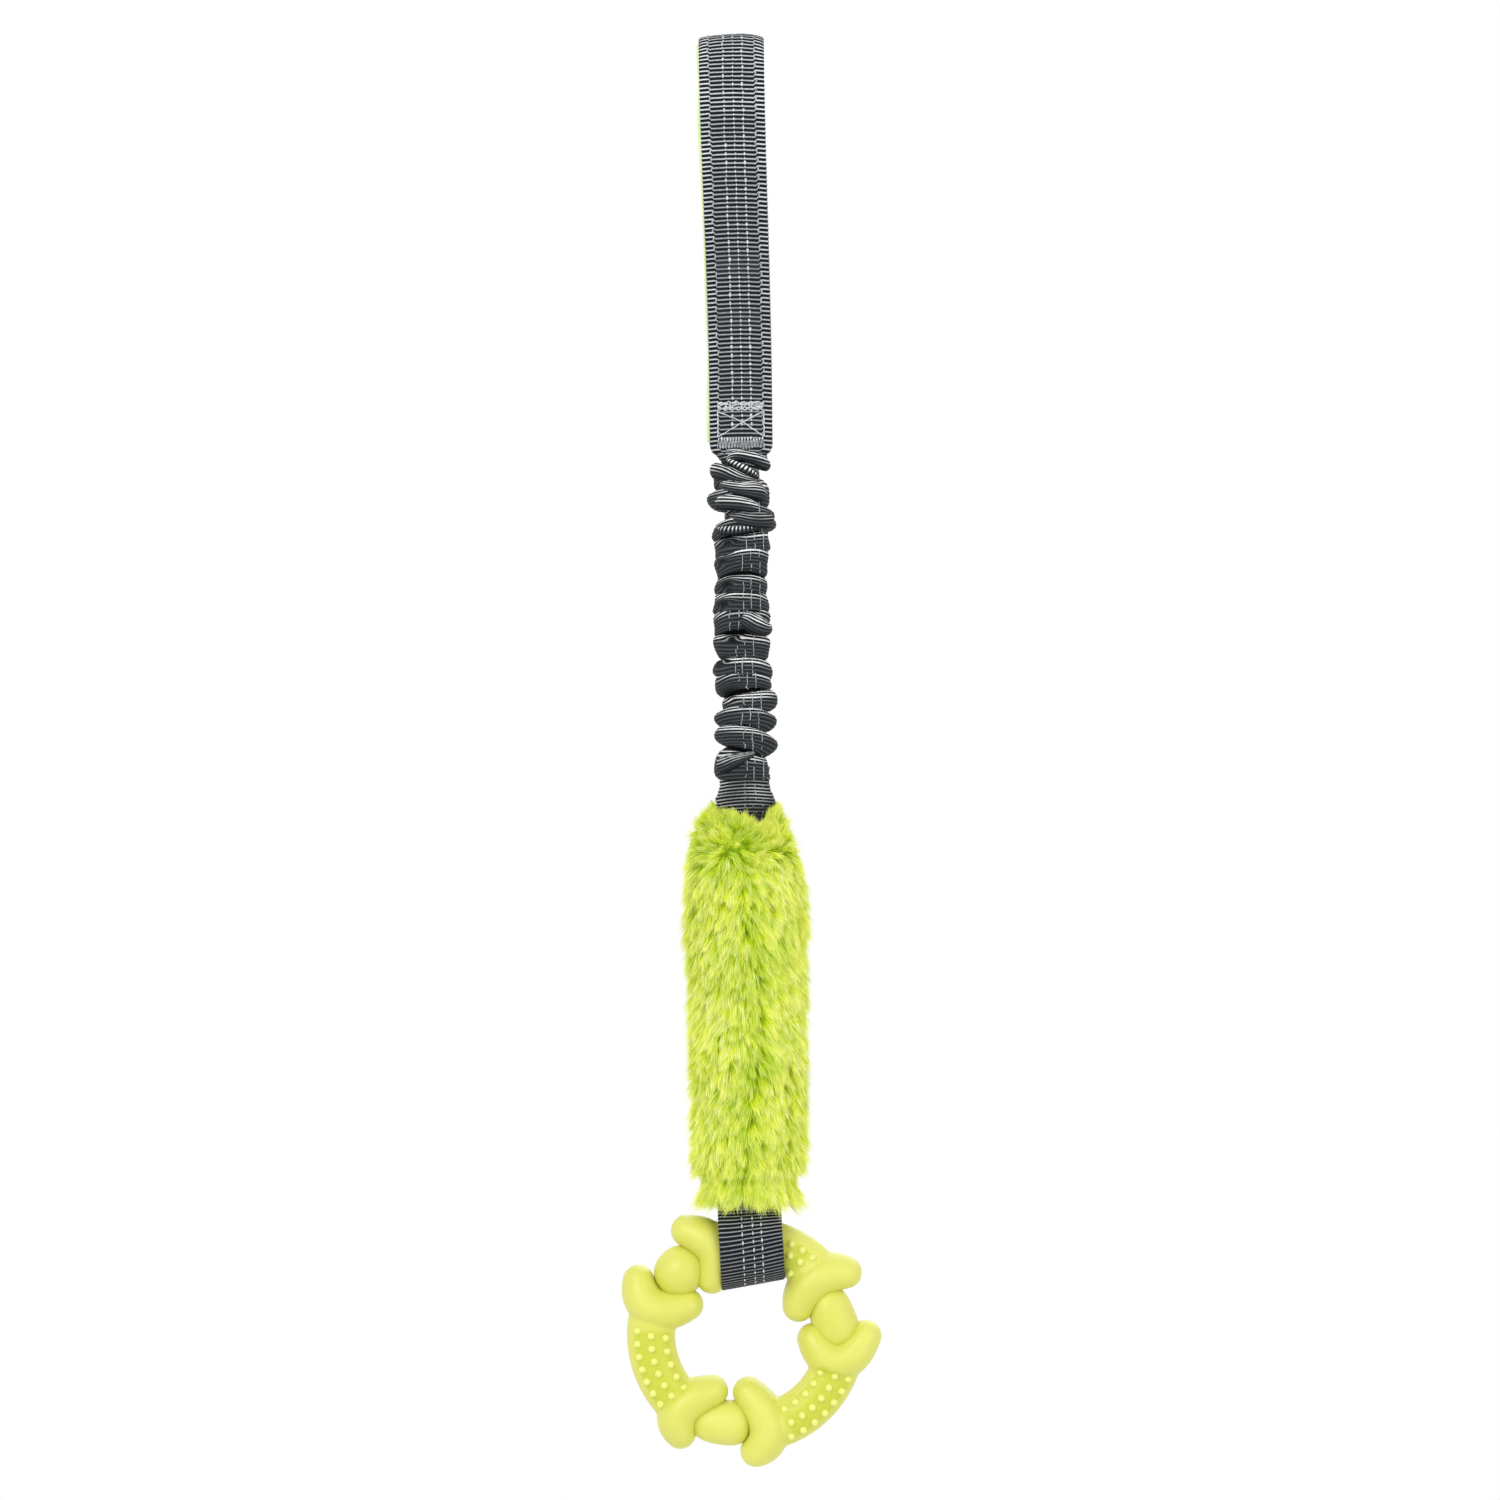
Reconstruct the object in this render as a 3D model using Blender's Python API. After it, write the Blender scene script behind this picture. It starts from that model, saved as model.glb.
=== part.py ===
"""Bungee tug toy: a lined webbing hand loop, a gathered sleeve over elastic cords, a plush body and a rubber ring.

Metres, +Z up along the toy, the front faces -Y. The origin is the inside top of the hand loop, where a hand holds it.
"""

import math

import bmesh
import bpy
from mathutils import Matrix, Vector

# Shared sizes of cloth and thread
gap = 0.0003
strap_width = 0.025
strap_thick = 0.0016
lining_thick = 0.0022
lining_shift = 0.0007
thread_thick = 0.0004

# Hand loop: depth of the opening, its length, and the flat sewn base below it
loop_half_opening = 0.0115
loop_drop = 0.128
base_length = 0.0263
loop_steps = 12
loop_close_power = 1.1
tab_thick = 0.002
tab_width = 0.022
tab_length = 0.018
lining_end_inset = 0.004

# Stitches on the hand loop
seam_row_offset = 0.0089
seam_row_width = 0.0008
seam_row_end_space = 0.0013
stitch_width = 0.0186
upper_bartack_drop = 0.0073
upper_bartack_height = 0.003
box_line = 0.0011
lower_bartack_height = 0.0041
lower_bartack_inset = 0.0008

# Folded ends of strap at the flexing necks
neck_thick = 0.004
neck_width = 0.020
neck_length = 0.0024
stem_half_width = 0.0045
stem_half_depth = 0.0018
stem_length = 0.009
top_stitch_height = 0.0009

# Gathered sleeve and its cords
sleeve_length = 0.1193
sleeve_half_width = 0.0114
puff_half_depth = 0.0095
valley_half_depth = 0.0072
bore_half_width = 0.005
bore_half_depth = 0.0027
cord_radius = 0.002
cord_spacing = 0.0046
sleeve_sides = 16
flank_width_share = 0.7
flank_level_share = 0.5
# Each pair of rows is a fold: how far down and how far out its left and its right side lie, as shares of the
# sleeve's length and half width. Rows take turns between a drawn-in valley and a full puff.
fold_shares = (
    (0.000, 0.86, 0.000, 0.86),
    (0.026, 1.07, 0.012, 0.93),
    (0.080, 0.73, 0.032, 0.58),
    (0.105, 1.17, 0.100, 0.93),
    (0.162, 0.60, 0.141, 0.77),
    (0.206, 1.00, 0.180, 1.10),
    (0.244, 0.86, 0.216, 0.75),
    (0.267, 0.95, 0.248, 0.93),
    (0.301, 0.84, 0.273, 0.75),
    (0.324, 0.97, 0.305, 0.90),
    (0.362, 0.80, 0.359, 0.70),
    (0.388, 0.94, 0.387, 0.82),
    (0.410, 0.86, 0.410, 0.72),
    (0.445, 1.00, 0.442, 0.87),
    (0.471, 0.88, 0.471, 0.78),
    (0.508, 1.04, 0.500, 0.97),
    (0.544, 0.88, 0.541, 0.67),
    (0.566, 1.00, 0.582, 0.91),
    (0.617, 0.74, 0.617, 0.70),
    (0.646, 1.03, 0.662, 0.94),
    (0.669, 0.83, 0.681, 0.82),
    (0.716, 1.03, 0.697, 0.94),
    (0.748, 0.60, 0.711, 0.82),
    (0.772, 0.70, 0.755, 1.10),
    (0.784, 0.68, 0.790, 0.72),
    (0.809, 0.97, 0.819, 1.07),
    (0.832, 0.80, 0.853, 0.63),
    (0.860, 1.00, 0.889, 1.13),
    (0.899, 0.63, 0.933, 0.60),
    (0.963, 1.07, 0.959, 0.84),
    (1.000, 0.82, 1.000, 0.78),
)

# Lower neck of the bungee, above the plush body
band_width = 0.0186
band_length = 0.0061
anchor_stitch_height = 0.0024

# Plush body
fur_length = 0.143
fur_half_width = 0.0228
fur_half_depth = 0.0185
pile_thick = 0.0075
fur_collar = 0.0023
fur_end_collar = 0.0014
fur_mouth_half_width = 0.0112
fur_mouth_half_depth = 0.0029
fur_sides = 20
fur_level_shares = (0.0, 0.03, 0.09, 0.19, 0.34, 0.52, 0.70, 0.84, 0.93, 0.98, 1.0)
fur_width_shares = (0.60, 0.76, 0.90, 0.99, 1.00, 0.96, 0.98, 0.97, 0.88, 0.74, 0.60)
groove_half_angle = 0.24
groove_depth = 0.0022
seam_end_steps = 2
cavity_level_shares = (0.0, 0.055, 0.13, 0.5, 0.87, 0.945, 1.0)
cavity_width_shares = (0.0, 0.0, 0.9, 1.0, 0.9, 0.0, 0.0)
core_thick = 0.002
core_width = 0.021
core_taper = 0.0015
core_end_length = 0.008
stuffing_steps = 6
stuffing_fill_share = 0.93
mouth_squareness = 8
thread_radius = 0.0005

# Webbing loop round the ring
ring_loop_drop = 0.0182
ring_loop_inner = 0.0138
ring_loop_slack = 0.0015
ring_loop_thick = 0.0015
ring_loop_half_width = 0.0117
ring_loop_slot_drop = 0.0032
ring_loop_slot_radius = 0.0004
ring_loop_lean_share = 0.05
ring_loop_slant_share = 0.19
ring_tack_width = 0.008
ring_tack_height = 0.003
ring_tack_angle_share = 0.62

# Rubber ring
ring_radius = 0.0352
ring_rest = 0.0011
ring_side_shift = 0.0014
shaft_radius = 0.00925
link_radius = 0.0088
link_half_length = 0.0125
link_taper_share = 0.1
link_inset = 0.0010
link_angles = (math.radians(12), math.radians(135.5), math.radians(253))
link_half_angle = math.radians(22)
bone_steps = 12
knuckle_inner_drop = 0.016
knuckle_outer_rise = 0.0142
knuckle_inner_angle = math.radians(16)
knuckle_body_angle = math.radians(24.3)
knuckle_outer_angle = math.radians(18.5)
knuckle_half_thick = 0.0063
knuckle_lobe_taper_share = 0.42
knuckle_half_depth = 0.0107
knuckle_squareness = 2.3
knuckle_step_share = 0.01
nub_radius = 0.0015
nub_tip_radius = 0.0009
nub_height = 0.001
nub_pitch = 0.00505
nub_row_offset = 0.0058
nub_row_shift = 0.0012
nub_counts = (5, 6, 7)
nub_sides = 6
nub_turn = math.radians(1.5)

# Heights of the joints and seats, counted down from the origin
neck_radius = neck_thick / 2
base_inner_half = tab_thick / 2 + gap
strap_inner_offset = lining_thick + gap
strap_outer_offset = strap_inner_offset + strap_thick
base_outer_half = base_inner_half + strap_outer_offset
base_top_z = -loop_drop
base_end_z = base_top_z - base_length
handle_flex_z = base_end_z - gap - neck_radius
neck_end_z = handle_flex_z - neck_length
sleeve_top_z = neck_end_z - gap
sleeve_end_z = sleeve_top_z - sleeve_length
band_top_z = sleeve_end_z - gap
band_end_z = band_top_z - band_length
fur_flex_z = band_end_z - gap - neck_radius
fur_top_z = fur_flex_z - fur_collar
fur_end_z = fur_top_z - fur_length
core_end_z = fur_end_z - fur_end_collar
loop_flex_z = core_end_z - gap - neck_radius
ring_axis_z = loop_flex_z - ring_loop_drop
ring_centre_z = ring_axis_z - (ring_radius - ring_rest)


def clear_scene():
    for item in list(bpy.data.objects):
        bpy.data.objects.remove(item, do_unlink=True)


def new_collection(name):
    made = bpy.data.collections.new(name)
    bpy.context.scene.collection.children.link(made)
    return made


def new_material(name, colour, roughness):
    made = bpy.data.materials.new(name)
    made.use_nodes = True
    shader = made.node_tree.nodes["Principled BSDF"]
    shader.inputs["Base Color"].default_value = (*colour, 1)
    shader.inputs["Roughness"].default_value = roughness
    shader.inputs["Metallic"].default_value = 0
    return made


def new_axis(name, parent, height, side=0):
    """An empty on a joint's axis, hung from the joint above it."""
    made = bpy.data.objects.new(name, None)
    toy.objects.link(made)
    made.parent = parent
    above = world_place(parent) if parent else Vector()
    made.location = Vector((side, 0, height)) - above
    return made


def world_place(item):
    place = Vector()
    while item:
        place += item.location
        item = item.parent
    return place


def add_piece(name, mesh, material, parent, height, side=0, depth=0):
    """A named piece whose own origin lies at the given place."""
    made = bpy.data.objects.new(name, mesh)
    toy.objects.link(made)
    mesh.materials.append(material)
    made.parent = parent
    made.location = Vector((side, depth, height)) - world_place(parent)
    return made


def smooth_mesh(mesh, crease=math.radians(40)):
    mesh.shade_smooth()
    mesh.set_sharp_from_angle(angle=crease)
    return mesh


def arc_points(centre, radius, start, end, count):
    """Points on an arc, both ends included."""
    made = []
    for index in range(count + 1):
        angle = start + (end - start) * index / count
        made.append((centre[0] + radius * math.cos(angle), centre[1] + radius * math.sin(angle)))
    return made


def outline_mesh(name, outlines, half_width, turn):
    """A flat closed outline, with holes where it has more loops, drawn out to both sides of its plane."""
    curve = bpy.data.curves.new(name, "CURVE")
    curve.dimensions = "2D"
    curve.fill_mode = "BOTH"
    curve.extrude = half_width
    for outline in outlines:
        spline = curve.splines.new("POLY")
        spline.points.add(len(outline) - 1)
        for point, place in zip(spline.points, outline):
            point.co = (place[0], place[1], 0, 1)
        spline.use_cyclic_u = True
    return mesh_from_curve(curve, turn)


def mesh_from_curve(curve, turn=None):
    """The curve as a welded mesh, turned into place."""
    holder = bpy.data.objects.new(curve.name, curve)
    toy.objects.link(holder)
    bpy.context.view_layer.update()
    mesh = bpy.data.meshes.new_from_object(holder.evaluated_get(bpy.context.evaluated_depsgraph_get()))
    bpy.data.objects.remove(holder, do_unlink=True)
    shape = bmesh.new()
    shape.from_mesh(mesh)
    bmesh.ops.remove_doubles(shape, verts=shape.verts, dist=gap / 100)
    if turn:
        bmesh.ops.transform(shape, matrix=turn, verts=shape.verts)
    bmesh.ops.recalc_face_normals(shape, faces=shape.faces)
    shape.to_mesh(mesh)
    shape.free()
    return mesh


def side_profile(name, outlines, half_width):
    """An outline given as (depth, height), drawn out across the toy."""
    return outline_mesh(name, outlines, half_width, Matrix.Rotation(math.pi / 2, 4, "Z") @ front_turn)


def front_profile(name, outlines, half_depth):
    """An outline given as (side, height), drawn out front to back."""
    return outline_mesh(name, outlines, half_depth, front_turn)


def loft_mesh(name, rings, inner_rings=None):
    """A skin through rings of points. Inner rings make it a tube, and without them its ends are closed."""
    shape = bmesh.new()
    skins = []
    for group in [rings, inner_rings or []]:
        skin = [[shape.verts.new(point) for point in ring] for ring in group]
        for upper, lower in zip(skin, skin[1:]):
            for index in range(len(upper)):
                shape.faces.new((upper[index - 1], upper[index], lower[index], lower[index - 1]))
        skins.append(skin)
    outer, inner = skins
    for end in (0, -1):
        if inner:
            for index in range(len(outer[end])):
                pair = (outer[end][index - 1], outer[end][index])
                shape.faces.new((*pair, inner[end][index], inner[end][index - 1]))
        else:
            shape.faces.new(outer[end])
    bmesh.ops.recalc_face_normals(shape, faces=shape.faces)
    mesh = bpy.data.meshes.new(name)
    shape.to_mesh(mesh)
    shape.free()
    return mesh


def rounded_ring(half_width, half_depth, height, sides, squareness=2.0, side=0, tilt=0):
    """A level oval, squarer as squareness grows, moved sideways and tilted where asked."""
    ring = []
    for index in range(sides):
        angle = 2 * math.pi * index / sides
        across = math.copysign(abs(math.cos(angle)) ** (2 / squareness), math.cos(angle))
        along = math.copysign(abs(math.sin(angle)) ** (2 / squareness), math.sin(angle))
        ring.append((side + half_width * across, half_depth * along, height + tilt * across))
    return ring


def join_shapes(base, others):
    """Unites the other pieces with the base piece and removes them."""
    for other in others:
        union = base.modifiers.new("join", "BOOLEAN")
        union.operation = "UNION"
        union.object = other
        bpy.context.view_layer.update()
        graph = bpy.context.evaluated_depsgraph_get()
        mesh = bpy.data.meshes.new_from_object(base.evaluated_get(graph))
        base.modifiers.clear()
        base.data = mesh
        bpy.data.objects.remove(other, do_unlink=True)


def loose_shape(name, mesh):
    made = bpy.data.objects.new(name, mesh)
    shapes.objects.link(made)
    made.hide_render = True
    made.display_type = "WIRE"
    return made


def loop_half_depth(share):
    """Half the opening at a share of its length: a small fold at the top that closes slowly to the base."""
    rise = math.sqrt(share) * (1 - share) ** loop_close_power
    widest = 1 / (1 + 2 * loop_close_power)
    fullest = math.sqrt(widest) * (1 - widest) ** loop_close_power
    return loop_half_opening * rise / fullest + base_inner_half * share**2


def loop_path(end_z):
    """The lining's inner face as (depth, height), from the front end over the top to the back end."""
    leg = []
    for index in range(1, loop_steps + 1):
        share = (index / loop_steps) ** 2
        leg.append((loop_half_depth(share), base_top_z * share))
    leg.append((base_inner_half, end_z))
    front = [(-depth, height) for depth, height in reversed(leg)]
    return front + [(0.0, 0.0)] + leg


def offset_path(path, distance):
    """The path moved outwards, away from the opening."""
    moved = []
    for index, (depth, height) in enumerate(path):
        before = Vector(path[max(index - 1, 0)])
        after = Vector(path[min(index + 1, len(path) - 1)])
        along = (after - before).normalized()
        moved.append((depth - along.y * distance, height + along.x * distance))
    return moved


def loop_band(name, end_z, inner, outer, width):
    """A band of the given thickness that follows the hand loop."""
    path = loop_path(end_z)
    outline = offset_path(path, outer) + list(reversed(offset_path(path, inner)))
    return side_profile(name, [outline], width / 2)


def make_handle():
    strap = loop_band("handle_strap", base_end_z, strap_inner_offset, strap_outer_offset, strap_width)
    add_piece("handle_strap", strap, webbing, handle_axis, 0)
    lining = loop_band("handle_lining", base_end_z + lining_end_inset, 0, lining_thick, strap_width)
    add_piece("handle_lining", lining, lime_lining, handle_axis, 0, side=-lining_shift)
    for label, side in (("left", -1), ("right", 1)):
        row_inner = strap_outer_offset + gap
        row_end = base_top_z - upper_bartack_drop + seam_row_end_space
        name = f"lining_stitch_{label}"
        row = loop_band(name, row_end, row_inner, row_inner + thread_thick, seam_row_width)
        add_piece(name, row, grey_thread, handle_axis, 0, side=side * seam_row_offset)
    half = tab_thick / 2
    tab = [(-half, 0), (half, 0), (half, tab_length), (-half, tab_length)]
    tab_mesh = side_profile("sleeve_top_tab", [tab], tab_width / 2)
    add_piece("sleeve_top_tab", tab_mesh, webbing, handle_axis, base_end_z)


def rectangle(width, height):
    """A rectangle that hangs from the middle of its top edge."""
    half = width / 2
    return [(-half, -height), (half, -height), (half, 0), (-half, 0)]


def crossed_box(width, height, line):
    """The outline of a box with a cross in it, as an outer loop and four triangular holes."""
    half = width / 2
    corner = Vector((half - line, height / 2 - line))
    diagonal = line / 2 * math.hypot(corner.x, corner.y)
    side_cut = diagonal / corner.x
    top_cut = diagonal / corner.y
    holes = []
    for sign in (-1, 1):
        holes.append([
            (-corner.x + top_cut, sign * corner.y),
            (corner.x - top_cut, sign * corner.y),
            (0, sign * side_cut),
        ])
        holes.append([
            (sign * corner.x, corner.y - side_cut),
            (sign * corner.x, side_cut - corner.y),
            (sign * top_cut, 0),
        ])
    middle = -height / 2
    holes = [[(across, middle + up) for across, up in hole] for hole in holes]
    return [rectangle(width, height), *holes]


def make_base_stitches():
    half = thread_thick / 2
    depth = base_outer_half + gap + half
    upper_z = base_top_z - upper_bartack_drop
    box_z = upper_z - upper_bartack_height - gap
    lower_z = base_end_z + lower_bartack_inset + lower_bartack_height
    box_height = box_z - lower_z - gap
    for label, side in (("front", -1), ("back", 1)):
        rows = (
            (f"upper_bartack_{label}", [rectangle(stitch_width, upper_bartack_height)], upper_z),
            (f"box_stitch_{label}", crossed_box(stitch_width, box_height, box_line), box_z),
            (f"lower_bartack_{label}", [rectangle(stitch_width, lower_bartack_height)], lower_z),
        )
        for name, outlines, height in rows:
            add_piece(name, front_profile(name, outlines, half), grey_thread, handle_axis, height, depth=side * depth)


def nose_outline(length):
    """A folded strap end seen from the side: a round nose about the hinge and a flat lower end."""
    nose = arc_points((0, 0), neck_radius, 0, math.pi, 8)
    return [(neck_radius, -length), *nose, (-neck_radius, -length)]


def stem_shape(name, low, high, height):
    """The sewn elastic ends, an oval stem that stands inside the sleeve's bore."""
    rings = [rounded_ring(stem_half_width, stem_half_depth, level, sleeve_sides) for level in (high, low)]
    stem = loose_shape(name, loft_mesh(name, rings))
    stem.location = (0, 0, height)
    return stem


def make_bungee_top():
    bar = side_profile("elastic_anchor_top", [nose_outline(neck_length)], neck_width / 2)
    anchor = add_piece("elastic_anchor_top", bar, webbing, flex_axis, handle_flex_z)
    stem = stem_shape("top_stem", -neck_length - stem_length, -neck_radius / 2, handle_flex_z)
    join_shapes(anchor, [stem])
    bar = front_profile("anchor_stitch_top", [rectangle(stitch_width, top_stitch_height)], thread_thick / 2)
    depth = -(neck_radius + gap + thread_thick / 2)
    height = neck_end_z + top_stitch_height
    add_piece("anchor_stitch_top", bar, grey_thread, flex_axis, height, depth=depth)


def fold_ring(shares, half_depth, lift=0):
    left_level, left_width, right_level, right_width = shares
    left = -left_width * sleeve_half_width
    right = right_width * sleeve_half_width
    level = -(left_level + right_level) / 2 * sleeve_length
    tilt = -(right_level - left_level) / 2 * sleeve_length
    return rounded_ring(
        (right - left) / 2, half_depth, level + lift, sleeve_sides, side=(right + left) / 2, tilt=tilt
    )


def make_sleeve():
    """Puffs and valleys in turn, with one ring halfway up each flank, most of the way out, so that puffs are round."""
    rings = []
    for index, shares in enumerate(fold_shares):
        full = index % 2 == 1
        rings.append(fold_ring(shares, puff_half_depth if full else valley_half_depth))
        if index + 1 < len(fold_shares):
            following = fold_shares[index + 1]
            puff = shares if full else following
            valley = following if full else shares
            flank = []
            for place in range(4):
                weight = flank_level_share if place % 2 == 0 else flank_width_share
                flank.append(valley[place] + weight * (puff[place] - valley[place]))
            depth = valley_half_depth + flank_width_share * (puff_half_depth - valley_half_depth)
            rings.append(fold_ring(flank, depth))
    bore = [rounded_ring(bore_half_width, bore_half_depth, 0, sleeve_sides)]
    bore.append(rounded_ring(bore_half_width, bore_half_depth, -sleeve_length, sleeve_sides))
    mesh = loft_mesh("bungee_sleeve", rings, bore)
    add_piece("bungee_sleeve", smooth_mesh(mesh), webbing, flex_axis, sleeve_top_z)


def make_cords():
    """Two elastic cords between the stems."""
    top = neck_end_z - stem_length - gap
    end = band_top_z + stem_length + gap
    for label, side in (("left", -1), ("right", 1)):
        name = f"elastic_cord_{label}"
        curve = bpy.data.curves.new(name, "CURVE")
        curve.dimensions = "3D"
        curve.bevel_depth = cord_radius
        curve.bevel_resolution = 2
        curve.use_fill_caps = True
        spline = curve.splines.new("POLY")
        spline.points.add(1)
        spline.points[0].co = (0, 0, 0, 1)
        spline.points[1].co = (0, 0, end - top, 1)
        add_piece(name, smooth_mesh(mesh_from_curve(curve)), elastic, flex_axis, top, side=side * cord_spacing / 2)


def make_bungee_bottom():
    half = neck_radius
    outline = [(-half, -band_length), (half, -band_length), (half, 0), (-half, 0)]
    band = side_profile("elastic_anchor_bottom", [outline], band_width / 2)
    anchor = add_piece("elastic_anchor_bottom", band, webbing, stretch_axis, band_top_z)
    stem = stem_shape("bottom_stem", -neck_radius / 2, stem_length, band_top_z)
    join_shapes(anchor, [stem])
    bar = front_profile("anchor_stitch_bottom", [rectangle(stem_half_width * 2, anchor_stitch_height)], thread_thick / 2)
    depth = -(neck_radius + gap + thread_thick / 2)
    add_piece("anchor_stitch_bottom", bar, grey_thread, stretch_axis, band_top_z - anchor_stitch_height / 2, depth=depth)


def fur_ring(level, width_share):
    """The pile's outer surface, drawn in along the seam at the front."""
    ring = []
    for index in range(fur_sides):
        angle = 2 * math.pi * index / fur_sides - math.pi / 2
        nearness = max(0, 1 - abs(math.remainder(angle + math.pi / 2, 2 * math.pi)) / groove_half_angle)
        depth = fur_half_depth * width_share - groove_depth * nearness * width_share
        ring.append((fur_half_width * width_share * math.cos(angle), depth * math.sin(angle), -level * fur_length))
    return ring


def make_fur_seam():
    """The lengthwise seam's thread, which follows the bottom of the groove."""
    name = "fur_seam_thread"
    curve = bpy.data.curves.new(name, "CURVE")
    curve.dimensions = "3D"
    curve.bevel_depth = thread_radius
    curve.bevel_resolution = 1
    curve.use_fill_caps = True
    rows = list(zip(fur_level_shares, fur_width_shares))[seam_end_steps:-seam_end_steps]
    spline = curve.splines.new("POLY")
    spline.points.add(len(rows) - 1)
    for point, (level, share) in zip(spline.points, rows):
        depth = (fur_half_depth - groove_depth) * share + gap + thread_radius
        point.co = (0, -depth, -level * fur_length, 1)
    add_piece(name, smooth_mesh(mesh_from_curve(curve)), lime_thread, fur_axis, fur_top_z)


def cavity_sizes(width_share):
    """Half width and half depth of the room inside the cover: a slot at its mouths and full between them."""
    full_width = fur_half_width - pile_thick
    full_depth = fur_half_depth - pile_thick
    width = fur_mouth_half_width + (full_width - fur_mouth_half_width) * width_share
    return width, fur_mouth_half_depth + (full_depth - fur_mouth_half_depth) * width_share


def make_fur_cover():
    outer = []
    for level, share in zip(fur_level_shares, fur_width_shares):
        outer.append(fur_ring(level, share))
    inner = []
    for level, share in zip(cavity_level_shares, cavity_width_shares):
        width, depth = cavity_sizes(share)
        ring = rounded_ring(width, depth, -level * fur_length, fur_sides, squareness=mouth_squareness)
        inner.append(ring)
    add_piece("fur_cover", smooth_mesh(loft_mesh("fur_cover", outer, inner)), plush, fur_axis, fur_top_z)


def make_stuffing():
    """A cushion of fibre in front of the core strap and one behind it."""
    near = core_thick / 2 + gap
    levels = cavity_level_shares[2:-2]
    widths = cavity_width_shares[2:-2]
    for label, side in (("front", -1), ("back", 1)):
        rings = []
        for level, share in zip(levels, widths):
            width, depth = cavity_sizes(share)
            ring = []
            for index in range(stuffing_steps + 1):
                angle = math.pi * index / stuffing_steps
                across = width * stuffing_fill_share * math.cos(angle)
                along = near + (depth - near) * stuffing_fill_share * math.sin(angle)
                ring.append((across, side * along, -level * fur_length))
            rings.append(ring)
        name = f"stuffing_{label}"
        add_piece(name, smooth_mesh(loft_mesh(name, rings)), fibre, fur_axis, fur_top_z)


def make_core():
    """Webbing from the neck to the ring loop, folded double where it flexes at its ends."""
    thin = core_thick / 2
    end = core_end_z - fur_flex_z
    upper = -core_end_length
    lower = end + core_end_length
    right = [
        (neck_radius, end),
        (neck_radius, lower),
        (thin, lower + core_taper),
        (thin, upper - core_taper),
        (neck_radius, upper),
    ]
    nose = arc_points((0, 0), neck_radius, 0, math.pi, 8)
    left = [(-depth, height) for depth, height in reversed(right)]
    mesh = side_profile("core_strap", [right + nose + left], core_width / 2)
    add_piece("core_strap", mesh, webbing, fur_axis, fur_flex_z)


def make_fur_threads():
    """Rings of thread round the strap at both mouths, and the lengthwise seam's thread in its groove."""
    for name, height in (
        ("fur_top_stitch", fur_top_z + gap + thread_radius),
        ("fur_bottom_stitch", fur_end_z - gap - thread_radius),
    ):
        inner = (core_width / 2 + 2 * gap + thread_radius, neck_radius + 2 * gap + thread_radius)
        curve = bpy.data.curves.new(name, "CURVE")
        curve.dimensions = "3D"
        curve.bevel_depth = thread_radius
        curve.bevel_resolution = 1
        spline = curve.splines.new("POLY")
        corners = rounded_ring(*inner, 0, fur_sides, squareness=mouth_squareness)
        spline.points.add(len(corners) - 1)
        for point, place in zip(spline.points, corners):
            point.co = (*place, 1)
        spline.use_cyclic_u = True
        add_piece(name, smooth_mesh(mesh_from_curve(curve)), lime_thread, fur_axis, height)


def two_circle_outline(top, top_radius, middle, low, radius):
    """The outline round a small upper circle and a large lower one that is drawn down from middle to low."""
    lean = math.asin((radius - top_radius) / (top - middle))
    right = arc_points((0, low), radius, -math.pi / 2, 0, 6)
    right += arc_points((0, middle), radius, 0, lean, 4)
    right += arc_points((0, top), top_radius, lean, math.pi / 2, 4)
    left = [(-depth, height) for depth, height in reversed(right[1:-1])]
    return right + left


def lean_and_slant(point):
    """Follows the ring's slope: the loop leans to the right as it drops, and its fold hangs lower on the left."""
    drop = -point.z
    share = min(1, max(0, (drop - ring_loop_slot_drop) / (ring_loop_drop - ring_loop_slot_drop)))
    point.x, point.z = point.x + ring_loop_lean_share * drop * share, point.z + ring_loop_slant_share * point.x * share


def make_ring_loop():
    axis = -ring_loop_drop
    low = axis - ring_loop_slack
    outer = two_circle_outline(0, neck_radius, axis, low, ring_loop_inner + ring_loop_thick)
    inner = two_circle_outline(-ring_loop_slot_drop, ring_loop_slot_radius, axis, low, ring_loop_inner)
    mesh = side_profile("ring_loop_strap", [outer, inner], ring_loop_half_width)
    for vertex in mesh.vertices:
        lean_and_slant(vertex.co)
    add_piece("ring_loop_strap", mesh, dark_webbing, loop_axis, loop_flex_z)
    rise = math.asin((ring_loop_inner + ring_loop_thick - neck_radius) / ring_loop_drop)
    tack = bpy.data.meshes.new("ring_loop_bartack")
    shape = bmesh.new()
    bmesh.ops.create_cube(shape, size=1)
    size = Vector((ring_tack_width, thread_thick, ring_tack_height))
    bmesh.ops.scale(shape, vec=size, verts=shape.verts)
    bmesh.ops.rotate(shape, matrix=Matrix.Rotation(-rise, 3, "X"), verts=shape.verts)
    shape.to_mesh(tack)
    shape.free()
    normal = Vector((0, -math.cos(rise), math.sin(rise)))
    down = Vector((0, -math.sin(rise), -math.cos(rise)))
    along = ring_loop_drop * math.cos(rise) * ring_tack_angle_share
    place = normal * (neck_radius + gap + thread_thick / 2) + down * along
    place.x = ring_loop_lean_share * -place.z / 2
    add_piece("ring_loop_bartack", tack, grey_thread, loop_axis, loop_flex_z + place.z, side=place.x, depth=place.y)


def polar(radius, angle):
    return Vector((radius * math.cos(angle), 0, radius * math.sin(angle)))


def bone_ends(index):
    """The angles between which one bone's shaft runs, from its own link to the next."""
    start = link_angles[index]
    end = link_angles[(index + 1) % len(link_angles)]
    if end < start:
        end += 2 * math.pi
    return start + link_half_angle, end - link_half_angle


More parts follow.
